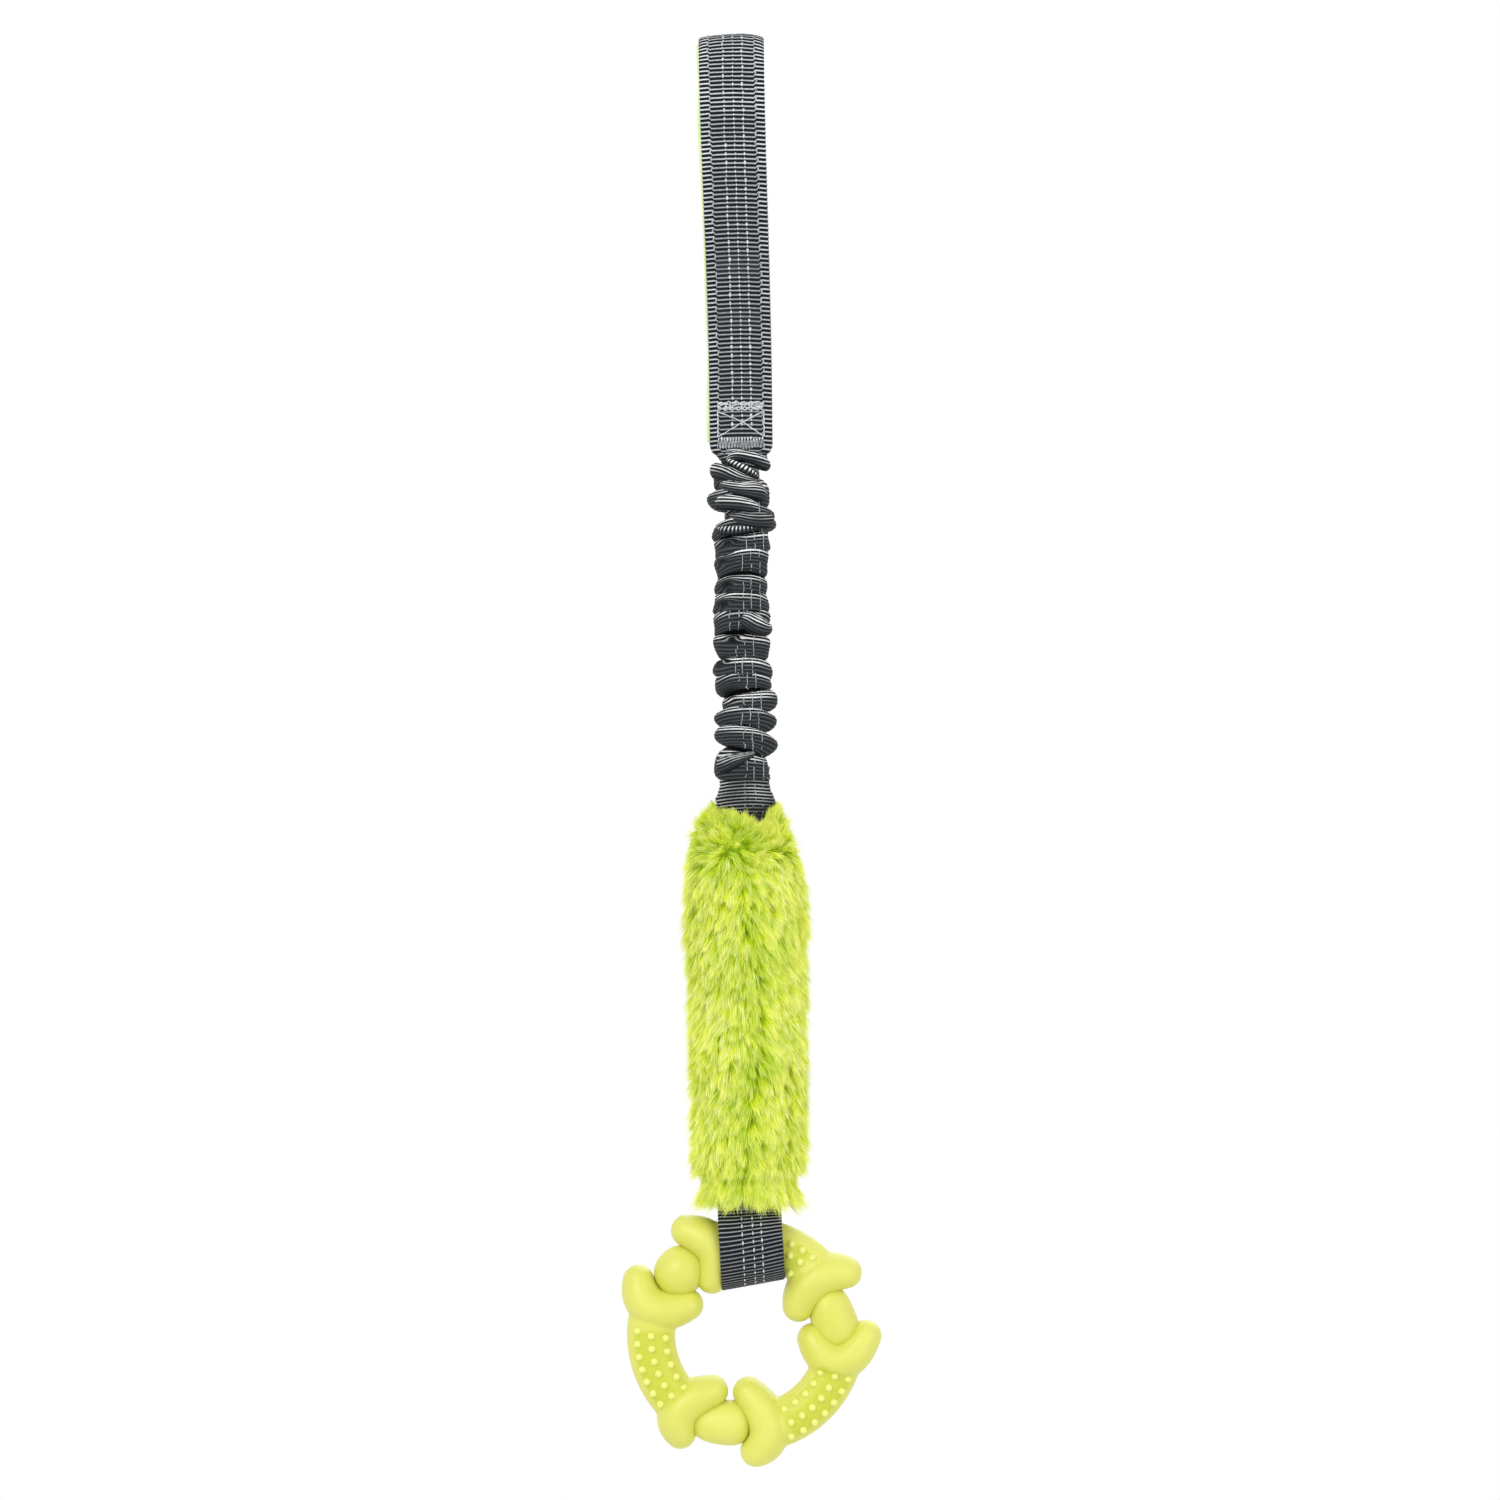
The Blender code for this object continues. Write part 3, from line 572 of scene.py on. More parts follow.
def floorMaterial():
    # pale in the middle and clear at the rim, so the white behind it takes over without a line
    made, tree, shader = startMaterial("paleFloor", 0.9)
    flat = addNode(tree, "VectorMath", {0: objectPlace(tree), 1: (1, 1, 0)}, "Vector", operation="MULTIPLY")
    distance = addNode(tree, "VectorMath", {0: flat}, "Value", operation="LENGTH")
    rim = studio["floorRadius"]
    shade = studio["floorShade"]
    alpha = span(distance, rim - studio["floorFade"], rim * 0.98, 1.0, 0.0)
    plugAll(shader, {"Alpha": alpha, "Base Color": (shade, shade, shade, 1)})
    return made


def makeStudio():
    deselectAll()
    bpy.ops.mesh.primitive_circle_add(
        vertices=96, radius=studio["floorRadius"], fill_type="NGON", location=(0, 0, studio["floorHeight"])
    )
    floor = bpy.context.object
    floor.name = "studioFloor"
    floor.data.materials.append(floorMaterial())
    for name, (place, power, size) in studio["lamps"].items():
        bpy.ops.object.light_add(type="AREA", location=place)
        lamp = bpy.context.object
        lamp.name = name
        lamp.data.energy = power
        lamp.data.size = size
        aim = Vector(studio["aim"]) - Vector(place)
        lamp.rotation_euler = aim.to_track_quat("-Z", "Y").to_euler()
    world = bpy.data.worlds.new("studioSky")
    bpy.context.scene.world = world
    world.use_nodes = True
    tree = world.node_tree
    camera, glossy, through = [
        addNode(tree, "LightPath", {}, f"Is {kind} Ray") for kind in ("Camera", "Glossy", "Transmission")
    ]
    seen = calc("MAXIMUM", calc("MAXIMUM", camera, glossy), through)
    level = addNode(tree, "MapRange", {"Value": seen, "To Min": studio["skyLevel"], "To Max": 1.0}, "Result")
    plugAll(tree.nodes["Background"], {"Strength": level, "Color": (1, 1, 1, 1)})
    bpy.context.scene.view_settings.view_transform = "Standard"
    print("studio ready")


makeCamera()
makeStudio()


# Hand loop

hand = {
    "halfOpening": 0.0115,
    "drop": 0.128,
    "closePower": 1.1,
    "innerHalf": 0.0013,
    "endHeight": -0.1552,
    "liningThick": 0.0022,
    "liningHalfWidth": 0.01215,
    "liningShift": -0.0009,
    "liningEnd": -0.1503,
    "strapInner": 0.0025,
    "strapThick": 0.0015,
    "halfWidth": 0.01205,
    "hem": 0.0004,
    "lip": 0.0001,
    "baseWidthShare": 0.967,
    "cornerRound": 0.0042,
    "cornerShare": 0.74,
    "lean": -0.0021,
    "crown": 0.0013,
    "ribPitch": 0.00164,
    "ribHeight": 0.00034,
    "edgeRib": 0.00024,
    "ribRows": 6,
    "arch": 0.00062,
    "marginAt": 0.0086,
    "columns": 34,
    "threadColumns": (-0.0032, 0.00045, 0.0040),
    "threadStep": 2,
    "threadEnd": 0.0078,
    "dashColumns": (-0.0087, 0.0088),
}


def loopLine(offset, end):
    # the side view of the loop, from its front end over the top to its back end, moved out from the opening
    share = np.linspace(0, 1, 400) ** 2
    power = hand["closePower"]
    widest = 1 / (1 + 2 * power)
    fullest = math.sqrt(widest) * (1 - widest) ** power
    depth = hand["halfOpening"] * np.sqrt(share) * (1 - share) ** power / fullest + hand["innerHalf"] * share**2
    tail = np.linspace(-hand["drop"], end, 60)[1:]
    depth = np.append(depth, np.full(len(tail), hand["innerHalf"]))
    height = np.append(-hand["drop"] * share, tail)
    line = np.stack([np.append(-depth[:0:-1], depth), np.append(height[:0:-1], height)], 1)
    slope = unit(np.gradient(line, axis=0))
    out = np.stack([-slope[:, 1], slope[:, 0]], 1)
    moved = line + out * offset
    length = lengthAlong(moved)
    return length - length[np.argmax(moved[:, 1])], moved, out


def handPhase(where, across):
    # ribs arch up in the middle of the band, and the margins outside the seams are half a rib out of step
    bow = hand["arch"] * (1 - (across / hand["halfWidth"]) ** 2) * smoothStep(np.abs(where), 0, 0.006)
    phase = (np.abs(where) + bow) / hand["ribPitch"]
    return phase + 0.5 * (np.abs(across) > hand["marginAt"])


def handShape(points):
    # the loop leans to the left towards its top, its top edge is crowned, and the band narrows a little
    # towards the base, where its last corners are rounded off
    height = points[..., 2]
    share = smoothStep(height, -hand["drop"], 0.0)
    width = hand["baseWidthShare"] + (1 - hand["baseWidthShare"]) * share
    toEnd = np.clip((height - hand["endHeight"]) / hand["cornerRound"], 0, 1)
    corner = hand["cornerShare"] + (1 - hand["cornerShare"]) * np.sqrt(1 - (1 - toEnd) ** 2)
    side = points[..., 0] / hand["halfWidth"]
    points[..., 0] = points[..., 0] * width * corner + hand["lean"] * share
    points[..., 2] = height - hand["crown"] * np.abs(side) ** 2.6 * smoothStep(height, -0.012, 0.003)
    return points


def makeHandStrap():
    line = loopLine(hand["strapInner"], hand["endHeight"])
    reach = line[0][-1]
    rows = int(2 * reach / hand["ribPitch"] * hand["ribRows"])
    where = np.linspace(line[0][0], reach, rows)[:, None]
    across, rise, shown = bandSection(hand)
    phase = handPhase(where, across)
    rib = ribShape(phase)
    height = rise * hand["strapThick"] + shown * hand["ribHeight"] * (rib - 0.5)
    height = height + shown * 0.00012 * ripple(3, 8, across * 500, where * 160)
    points = handShape(onFace(line, where, across + edgeSpread(across, hand, rib), height))
    level = points[..., 2]
    # tone sets the painted crest highlights and slot shade: it rises towards the loop's top, where light falls on it,
    # wanders at random lower down and is higher on the margins outside the seams
    tone = 0.4 + 0.2 * smoothStep(level, -0.075, -0.008)
    tone = tone + 0.14 * ripple(11, 6, level * 190) * smoothStep(level, -0.2, -0.03)
    tone = tone + 0.25 * smoothStep(np.abs(across), hand["marginAt"] - 0.0006, hand["marginAt"] + 0.0006)
    piece = laidGrid("handleStrap", points, across * 1000, phase, np.clip(tone, 0.22, 1))
    finish(piece, "handleWebbing", body="handle", replaced=("handle_strap",))
    return line


def makeHandLining():
    line = loopLine(0.0, hand["liningEnd"])
    where = np.linspace(line[0][0], line[0][-1], 420)[:, None]
    middle = hand["liningThick"] / 2
    turn = np.linspace(0, 2 * math.pi, 33)
    across = squared(np.cos(turn), 0.35) * hand["liningHalfWidth"]
    rise = middle + squared(np.sin(turn), 0.5) * middle
    height = rise + 0.00018 * ripple(5, 8, across * 420, where * 260) * (rise > middle)
    wander = 0.0003 * ripple(6, 5, where * 90)
    points = handShape(onFace(line, where, across + hand["liningShift"] + wander, height))
    piece = laidGrid("handleLining", points, across * 1000, where * 1000)
    finish(piece, "lining", body="handle", replaced=("handle_lining",))


def makeHandThreads(line):
    # dots of thread on every second rib, and the dashes of the two seams that hold the lining
    draw = np.random.default_rng(21)
    step = hand["ribPitch"] * hand["threadStep"]
    count = int((line[0][-1] - hand["threadEnd"]) / step)
    spots = np.arange(count)

    def handPoints(where, across, lift):
        return handShape(onFace(line, where, across, hand["strapThick"] + lift))

    for label, side in (("Front", -1), ("Back", 1)):
        places, axes = [], []
        for column, middle in enumerate(hand["threadColumns"]):
            where = side * (spots + 0.5) * step
            across = -side * middle + draw.normal(0, 0.00012, count)
            size = 0.9 if column == 1 else 1.1
            width = 0.00042 * size * draw.uniform(0.8, 1.2, count)
            length = 0.00066 * size * draw.uniform(0.8, 1.25, count)
            places.append(handPoints(where, across, 0.0002))
            axes.append(sized(faceAxes(line, where), (width, length, 0.00026)))
            # the thread shows again, thinner, where it passes over the ribs between
            where = side * (spots + 1.0) * step
            places.append(handPoints(where, across, 0.0001))
            axes.append(sized(faceAxes(line, where), (0.00024, 0.0005, 0.00022)))
        piece = scatteredBeads(f"handleThreadDots{label}", np.concatenate(places), np.concatenate(axes))
        finish(piece, "lightThread", body="handle")
    for label, middle in zip(("left", "right"), hand["dashColumns"]):
        places, axes = [], []
        for side in (-1, 1):
            where = side * (spots + 0.15) * step
            across = middle + 0.00035 * np.sin(where * 180) + draw.normal(0, 0.00008, count)
            length = 0.00105 * draw.uniform(0.8, 1.15, count)
            sideways, along, outward = faceAxes(line, where)
            tilted = along + sideways * draw.normal(0.12, 0.1, count)[:, None]
            places.append(handPoints(where, across, 0.00012))
            axes.append(sized((sideways, tilted, outward), (0.0003, length, 0.00028)))
        name = f"liningDashes{label.capitalize()}"
        piece = scatteredBeads(name, np.concatenate(places), np.concatenate(axes))
        finish(piece, "greyThread", body="handle", replaced=(f"lining_stitch_{label}",))


base = {
    "faceDepth": 0.0056,
    "halfWidth": 0.0087,
    "upperTop": -0.1353,
    "upperEnd": -0.1386,
    "boxTop": -0.1392,
    "boxEnd": -0.1488,
    "lowerTop": -0.1493,
    "lowerEnd": -0.1530,
    "threadRadius": 0.00023,
    # the loose threads' drop, height of wave, pitch, and whether a second row with knots goes with them
    "waves": ((0.0006, 0.0004, 0.0028, True), (0.0015, 0.0003, 0.005, False), (0.0026, 0.0004, 0.0024, True)),
    # loops of thread, as shares of the half width with their radius
    "loops": ((0.52, 0.0013), (0.8, 0.0011), (0.66, 0.0016), (-0.55, 0.0009)),
    "boxMiddle": 0.0008,
    "zigzagPitch": 0.0011,
}


def makeKnots(name, places, size, draw):
    # short raised stitches at the given places
    scale = draw.uniform(0.75, 1.2, (len(places), 1, 1))
    return scatteredBeads(name, places, np.diag(size) * np.concatenate([scale, scale * 0 + 1, scale], 1))


def makeUpperBar(label, side, draw):
    # loose wavy threads with knots and a few loops
    half, top = base["halfWidth"], base["upperTop"]
    face = side * base["faceDepth"]
    knots, paths = [], []
    for drop, wave, pitch, double in base["waves"]:
        across = np.linspace(-half, half, 90)
        turn = across * 2 * math.pi / pitch + draw.uniform(0, 6)
        rise = wave * np.sin(turn) + 0.0002 * ripple(int(draw.integers(1, 900)), 4, across * 900)
        depth = face + side * (0.0002 * np.cos(turn) + 0.00008)
        paths.append(placed(across, depth, top - drop + rise))
        if double:
            paths.append(placed(across, depth, top - drop - 0.0005 - rise * 0.6))
            spots = np.arange(-half + 0.0006, half, 0.0021) + draw.normal(0, 0.00015)
            knots.append(placed(spots, face + side * 0.0003, top - drop - 0.0001))
    for share, size in base["loops"]:
        turn = np.linspace(0.4, 5.9, 22) + draw.uniform(0, 2)
        level = (top + base["upperEnd"]) / 2 + size * 0.8 * np.sin(turn)
        paths.append(placed(half * share + size * np.cos(turn), face + side * 0.0005, level))
    piece = threadCurve(f"upperBar{label.capitalize()}", paths, base["threadRadius"])
    joinInto(piece, [makeKnots("knots", np.concatenate(knots), (0.00075, 0.0003, 0.0003), draw)])
    finish(piece, "lightThread", body="handle", replaced=(f"upper_bartack_{label}",))


def makeCrossedBox(label, side):
    # four arms to the middle and the two sides, each with a slight waver
    half, top, end = base["halfWidth"], base["boxTop"], base["boxEnd"]
    face = side * base["faceDepth"]
    middle = (base["boxMiddle"], (top + end) / 2 + base["boxMiddle"])
    corners = [(-half, end), (half, end), (half, top), (-half, top)]
    share = np.linspace(0, 1, 24)
    paths = []
    for index, (across, level) in enumerate(corners):
        x = across + (middle[0] - across) * share
        z = level + (middle[1] - level) * share + 0.0001 * np.sin(share * 17 + index)
        paths.append(placed(x, face + side * 0.00016 * np.sin(share * 40), z))
        if index in (1, 3):
            following = corners[(index + 1) % 4]
            x = across + (following[0] - across) * share + 0.0001 * np.sin(share * 21 + index)
            z = level + (following[1] - level) * share
            paths.append(placed(x, face + side * 0.00014 * np.sin(share * 44), z))
    piece = threadCurve(f"crossedBox{label.capitalize()}", paths, base["threadRadius"])
    finish(piece, "lightThread", body="handle", replaced=(f"box_stitch_{label}",))


def makeLowerBar(label, side, draw):
    # a dense zigzag with a row of upright knots along its upper edge
    half, top = base["halfWidth"], base["lowerTop"]
    face = side * base["faceDepth"]
    across = np.linspace(-half - 0.0002, half + 0.0002, 420)
    turn = (across + half) / base["zigzagPitch"] * math.pi * 2
    level = (top + base["lowerEnd"]) / 2 + np.clip(np.sin(turn) * 1.3, -1, 1) * 0.0018
    level = level + 0.0002 * ripple(44 + side, 5, across * 800)
    path = placed(across, face + side * (0.0001 + 0.00012 * np.sin(turn * 2)), level)
    piece = threadCurve(f"lowerBar{label.capitalize()}", [path], base["threadRadius"] * 0.8, 1)
    finish(piece, "greyThread", body="handle", replaced=(f"lower_bartack_{label}",))
    spots = np.arange(-half + 0.0003, half, base["zigzagPitch"])
    places = placed(spots, face + side * 0.0004, top - 0.0003 + draw.normal(0, 0.00016, len(spots)))
    piece = makeKnots(f"lowerBarKnots{label.capitalize()}", places, (0.00034, 0.0003, 0.00066), draw)
    finish(piece, "lightThread", body="handle")


handLine = makeHandStrap()
makeHandLining()
makeHandThreads(handLine)
for label, side, seed in (("front", -1, 31), ("back", 1, 32)):
    draw = np.random.default_rng(seed)
    makeUpperBar(label, side, draw)
    makeCrossedBox(label, side)
    makeLowerBar(label, side, draw)
print("hand loop done")


# Gathered sleeve

sleeve = {
    "top": -0.1593,
    "length": 0.1193,
    "halfWidth": 0.0111,
    "puffDepth": 0.0092,
    "valleyDepth": 0.0046,
    "squareness": 0.82,
    "droop": 0.0012,
    "arch": 0.0013,
    "bow": 0.0011,
    "crumple": 0.00045,
    "columns": 108,
    "rowPitch": 0.0003,
    "ribPitch": 0.00145,
    "ribHeight": 0.00034,
    "threadColumns": (0.0001, 0.0032, 0.0065),
    # how far the threads lie to one side on each fold, and how narrow each fold's sides are
    "threadShifts": (0, 0, 0, 0.001, 0.0014, 0, 0, 0, -0.005, -0.0026, -0.0032, -0.002, 0, -0.001, 0, 0.0005),
    "sideShapes": (1.2, 1.3, 0.8, 1.2, 0.7, 0.8, 0.8, 0.7, 1.0, 1.0, 1.0, 1.5, 1.6, 2.0, 2.0, 1.0),
    # how far down and how far out each fold's left and right sides lie; valleys and puffs take turns
    "folds": (
        (0.021, 0.72, 0.021, 0.60),
        (0.050, 0.96, 0.030, 0.60),
        (0.084, 0.68, 0.038, 0.56),
        (0.112, 1.18, 0.095, 0.97),
        (0.150, 0.54, 0.142, 0.76),
        (0.165, 0.56, 0.166, 1.08),
        (0.181, 0.54, 0.177, 1.02),
        (0.212, 1.02, 0.190, 1.10),
        (0.244, 0.86, 0.211, 0.70),
        (0.267, 0.95, 0.244, 0.93),
        (0.301, 0.84, 0.273, 0.75),
        (0.324, 0.91, 0.305, 0.92),
        (0.362, 0.80, 0.359, 0.70),
        (0.388, 0.89, 0.387, 0.82),
        (0.410, 0.86, 0.410, 0.72),
        (0.445, 1.00, 0.442, 0.87),
        (0.471, 0.88, 0.471, 0.78),
        (0.508, 1.04, 0.500, 0.97),
        (0.544, 0.88, 0.541, 0.67),
        (0.566, 1.00, 0.582, 0.91),
        (0.620, 0.68, 0.620, 0.70),
        (0.646, 1.03, 0.662, 0.94),
        (0.669, 0.78, 0.681, 0.80),
        (0.706, 1.03, 0.697, 0.94),
        (0.739, 0.60, 0.711, 0.80),
        (0.772, 0.74, 0.750, 1.14),
        (0.780, 0.70, 0.787, 0.68),
        (0.805, 0.98, 0.814, 1.08),
        (0.828, 0.74, 0.854, 0.60),
        (0.858, 1.02, 0.887, 1.18),
        (0.894, 0.60, 0.934, 0.60),
        (0.952, 1.02, 0.959, 0.86),
        (1.000, 0.80, 1.000, 0.78),
    ),
    # hollows at the left ends of the folds, dented in and painted dark with shade: across, height, half width, half
    # height, how deep
    "hollows": (
        (-0.0044, -0.1884, 0.0036, 0.0018, 0.0036),
        (-0.0072, -0.1956, 0.0030, 0.0015, 0.0028),
        (-0.0050, -0.2045, 0.0036, 0.0024, 0.0040),
        (-0.0064, -0.2117, 0.0034, 0.0019, 0.0032),
        (-0.0030, -0.2246, 0.0036, 0.0016, 0.0030),
        (-0.0080, -0.2335, 0.0026, 0.0015, 0.0026),
        (-0.0042, -0.2455, 0.0044, 0.0022, 0.0040),
    ),
}
# what lengthens with the bungee, and what bends where it leaves the handle
stretching = ("bungee_top", "bungee_bottom", sleeve["top"] + 0.0005, sleeve["top"] - sleeve["length"])
bending = ("handle", "bungee_top", -0.1540, -0.1640)


def foldTable():
    # level and reach of both sides along the sleeve, finely stepped through every valley and puff
    folds = np.array(sleeve["folds"])
    valleys, puffs = folds[0::2], folds[1::2]
    rows = []
    for index, puff in enumerate(puffs):
        upper, lower = valleys[index], valleys[index + 1]
        share = (1 - np.cos(np.linspace(0, math.pi, 81))) / 2
        if index + 1 < len(puffs):
            share = share[:-1]
        fullness = (1 - np.abs(2 * share - 1) ** 2.3) ** 0.55
        row = upper[None] + (lower - upper)[None] * share[:, None]
        outward = puff - (upper + lower) / 2
        bend = np.sin(math.pi * share)
        sideShape = np.maximum(bend, 0) ** sleeve["sideShapes"][index]
        droop = sleeve["droop"] / sleeve["length"] * np.sin(2 * math.pi * share)
        for side in (0, 2):
            row[:, side + 1] += outward[side + 1] * sideShape
            row[:, side] += outward[side] * bend * 0.8 - droop
        depth = sleeve["valleyDepth"] + (sleeve["puffDepth"] - sleeve["valleyDepth"]) * fullness
        rows.append(np.column_stack([row, depth, fullness, np.full(len(share), index), share]))
    return np.concatenate(rows)


def sleeveSurface(table, turn):
    leftLevel, leftReach, rightLevel, rightReach, depth, fullness, fold, share = [row[:, None] for row in table.T]
    across, front = np.cos(turn), -np.sin(turn)
    left, right = -leftReach * sleeve["halfWidth"], rightReach * sleeve["halfWidth"]
    level = leftLevel + (rightLevel - leftLevel) * (across + 1) / 2
    ends = smoothStep(level, 0.02, 0.1) * smoothStep(-level, -1.0, -0.95)
    bowing = sleeve["bow"] * np.cos(fold * 2.3 + 0.6)
    z = sleeve["top"] - level * sleeve["length"] + (sleeve["arch"] + bowing * np.sign(front)) * (1 - across**2) * ends
    crumple = sleeve["crumple"] * fullness * ripple(61, 10, across * 2.6 + fold * 1.7, front * 2.2, share * 5)
    x = (left + right) / 2 + (right - left) / 2 * squared(across, sleeve["squareness"]) + crumple * across
    y = -depth * squared(front, sleeve["squareness"]) * (0.3 + 0.7 * smoothStep(level, 0.022, 0.066))
    points = placed(x, y - crumple * front * 1.6, z)
    hollow = np.zeros(points.shape[:2])
    for place, height, halfWidth, halfHeight, deep in sleeve["hollows"]:
        for facing in (-1, 1):
            # a crescent that opens to the right, as left by a fold that curls over itself
            sideways = (points[..., 0] + facing * place) * -facing / halfWidth
            upwards = (points[..., 2] - height) / halfHeight
            mouth = 0.9 * bell(sideways - 0.75, 0.8) * bell(upwards + 0.35, 0.7)
            dent = bell(sideways, 1) * bell(upwards, 1) * (1 - mouth)
            dent = dent * (points[..., 1] * facing > 0)
            hollow = np.maximum(hollow, dent)
            points[..., 1] -= facing * deep * dent
    return np.dstack([points, hollow])


def resampled(rows, pitch):
    # rows of points, and what belongs to them, at even steps along the surface, measured as the mean over all columns
    steps = np.linalg.norm(np.diff(rows[..., :3], axis=0), axis=2)
    mean = np.append(0, np.cumsum(steps.mean(axis=1)))
    where = np.linspace(0, mean[-1], int(mean[-1] / pitch))
    index = np.interp(where, mean, np.arange(len(mean)))
    low = np.clip(index.astype(int), 0, len(rows) - 2)
    part = (index - low)[:, None, None]
    return rows[low] * (1 - part) + rows[low + 1] * part, where[:, None], index


def surfaceNormals(points):
    # outward directions of a closed band of rows
    ring = points[:, :-1]
    around = np.roll(ring, -1, axis=1) - np.roll(ring, 1, axis=1)
    normal = unit(np.cross(around, np.gradient(points, axis=0)[:, :-1]))
    if np.sum(normal * (ring - ring.mean(axis=1, keepdims=True))) < 0:
        normal = -normal
    return np.concatenate([normal, normal[:, :1]], axis=1)


def makeSleeve():
    table = foldTable()
    turn = np.linspace(0, 2 * math.pi, sleeve["columns"] + 1)
    rows, where, index = resampled(sleeveSurface(table, turn), sleeve["rowPitch"])
    points, hollow = rows[..., :3], rows[..., 3]
    spots = np.arange(len(table))
    fullness, fold, share = [np.interp(index, spots, table[:, column])[:, None] for column in (5, 6, 7)]
    fold = np.round(fold)
    normal = surfaceNormals(points)
    across, front = np.cos(turn), np.sin(turn)
    phase = where / sleeve["ribPitch"] + 0.5 * ripple(71, 8, across * 2.5, front * 2.5, where * 120) + hollow * 2.2
    # painted light and shade: tone is high on the lit top edge of each fold, varies in patches, and falls to painted
    # shade in the valleys and the hollows
    lit = smoothStep(share, 0.05, 0.14) * smoothStep(-share, -0.5, -0.28)
    patch = 0.5 + 0.5 * np.clip(ripple(72, 8, fold * 2.7, across * 1.8, front * 1.8), -1, 1)
    tone = (0.2 + 0.8 * lit * (0.6 + 0.4 * patch)) * smoothStep(fullness, 0.28, 0.84) * (1 - 0.98 * hollow)
    relief = (ribShape(phase) - 0.5) * sleeve["ribHeight"] * (0.4 + 0.6 * lit)
    points = points + normal * relief[..., None]
    piece = laidGrid("bungeeSleeve", points, turn / (2 * math.pi) * 62, phase, np.clip(tone, 0, 1))
    finish(piece, "sleeveWebbing", blend=stretching, replaced=("bungee_sleeve",))
    shift = np.array(sleeve["threadShifts"])[fold[:, 0].astype(int)]
    shown = (hollow < 0.12) & (fullness > 0.45) & (where > 0.003)
    makeSleeveThreads("sleeveThreadDashes", points, normal, phase, sleeve["threadColumns"], stretching, shift, shown, 1)


def makeSleeveThreads(name, points, normal, phase, columns, blend, shift=0, shown=True, every=2):
    # short dashes of the band's three threads, one for every so many ribs, which dip out of sight in the valleys
    draw = np.random.default_rng(81)
    places, axes = [], []
    rows = np.arange(len(points))
    half = points[:, :-1]
    shown = np.broadcast_to(shown, points.shape[:2])
    for facing in (-1, 1):
        for middle in columns:
            wanted = -facing * (middle + shift + np.zeros(len(points)))
            offset = np.abs(half[..., 0] - wanted[:, None]) + 0.1 * (half[..., 1] * facing < 0)
            column = np.argmin(offset, axis=1)
            line = points[rows, column]
            ribs = np.floor(phase[rows, column] / every + 0.3)
            for start in np.nonzero(np.diff(ribs) > 0)[0]:
                reach = line[start:start + 5]
                if len(reach) < 5 or not shown[start + 2, column[start + 2]] or draw.uniform() < 0.15:
                    continue
                along = reach[-1] - reach[0]
                if not 0.0004 <= np.linalg.norm(along) <= 0.003:
                    continue
                out = normal[start + 2, column[start + 2]]
                along = unit(along)
                size = draw.uniform(0.8, 1.2)
                places.append(reach.mean(axis=0) + out * 0.0002)
                axes.append([np.cross(out, along) * 0.00017 * size, along * 0.0008 * size, out * 0.00018])
    finish(scatteredBeads(name, np.array(places), np.array(axes)), "greyThread", blend=blend)


necks = {
    "columns": 72,
    "rowPitch": 0.00026,
    # height, half width and half depth down each neck
    "upper": (
        (-0.1520, 0.0104, 0.0030),
        (-0.1538, 0.0104, 0.0046),
        (-0.1556, 0.0098, 0.0052),
        (-0.1574, 0.0084, 0.0054),
        (-0.1588, 0.0078, 0.0050),
        (-0.1602, 0.0072, 0.0046),
        (-0.1616, 0.0064, 0.0040),
        (-0.1632, 0.0060, 0.0034),
    ),
    "lower": (
        (-0.2740, 0.0092, 0.0056),
        (-0.2775, 0.0099, 0.0054),
        (-0.2805, 0.0098, 0.0048),
        (-0.2830, 0.0100, 0.0047),
        (-0.2852, 0.0107, 0.0052),
        (-0.2874, 0.0113, 0.0060),
        (-0.2900, 0.0115, 0.0062),
        (-0.2930, 0.0110, 0.0056),
        (-0.2960, 0.0102, 0.0046),
    ),
    "lowerBlend": ("bungee_bottom", "fur_body", -0.2835, -0.2905),
    "ribPitch": 0.00135,
    "ribHeight": 0.0003,
    "threadColumns": (0.0004, 0.0036, 0.0067),
}


def makeNeck(name, rows, tilt, blend, seed):
    # a short fold of the band between two bodies
    rows = np.array(rows)
    level = np.linspace(0, len(rows) - 1, 160)
    height, width, depth = readAlong(level, np.arange(len(rows)), rows).T
    kernel = np.ones(15) / 15
    width, depth = [np.convolve(np.pad(row, 7, mode="edge"), kernel, mode="valid")[:, None] for row in (width, depth)]
    height = height[:, None]
    turn = np.linspace(0, 2 * math.pi, necks["columns"] + 1)
    across = squared(np.cos(turn), 0.55)
    front = -squared(np.sin(turn), 0.75)
    swell = 0.0004 * ripple(seed, 8, across * 2.5, height * 900)
    z = height + tilt * across + 0.0009 * (1 - across**2) * np.sign(front)
    points = placed((width + swell) * across, -(depth + swell) * front, z)
    points, where, _ = resampled(points, necks["rowPitch"])
    normal = surfaceNormals(points)
    phase = where / necks["ribPitch"] + 0.25 * ripple(seed + 1, 6, np.cos(turn) * 2, where * 200)
    points = points + normal * ((ribShape(phase) - 0.5) * necks["ribHeight"])[..., None]
    share = np.linspace(0, 1, len(where))[:, None]
    # tone, the painted highlight on the ribs, wanders at random and falls towards each neck's lower end, so that end is
    # painted darker
    tone = 0.5 + 0.2 * ripple(seed + 2, 5, across * 2, where * 300) - 0.3 * smoothStep(share, 0.4, 0.9)
    finish(laidGrid(name, points, turn * 9, phase, np.clip(tone, 0.16, 0.85)), "sleeveWebbing", blend=blend)
    return points, normal, phase


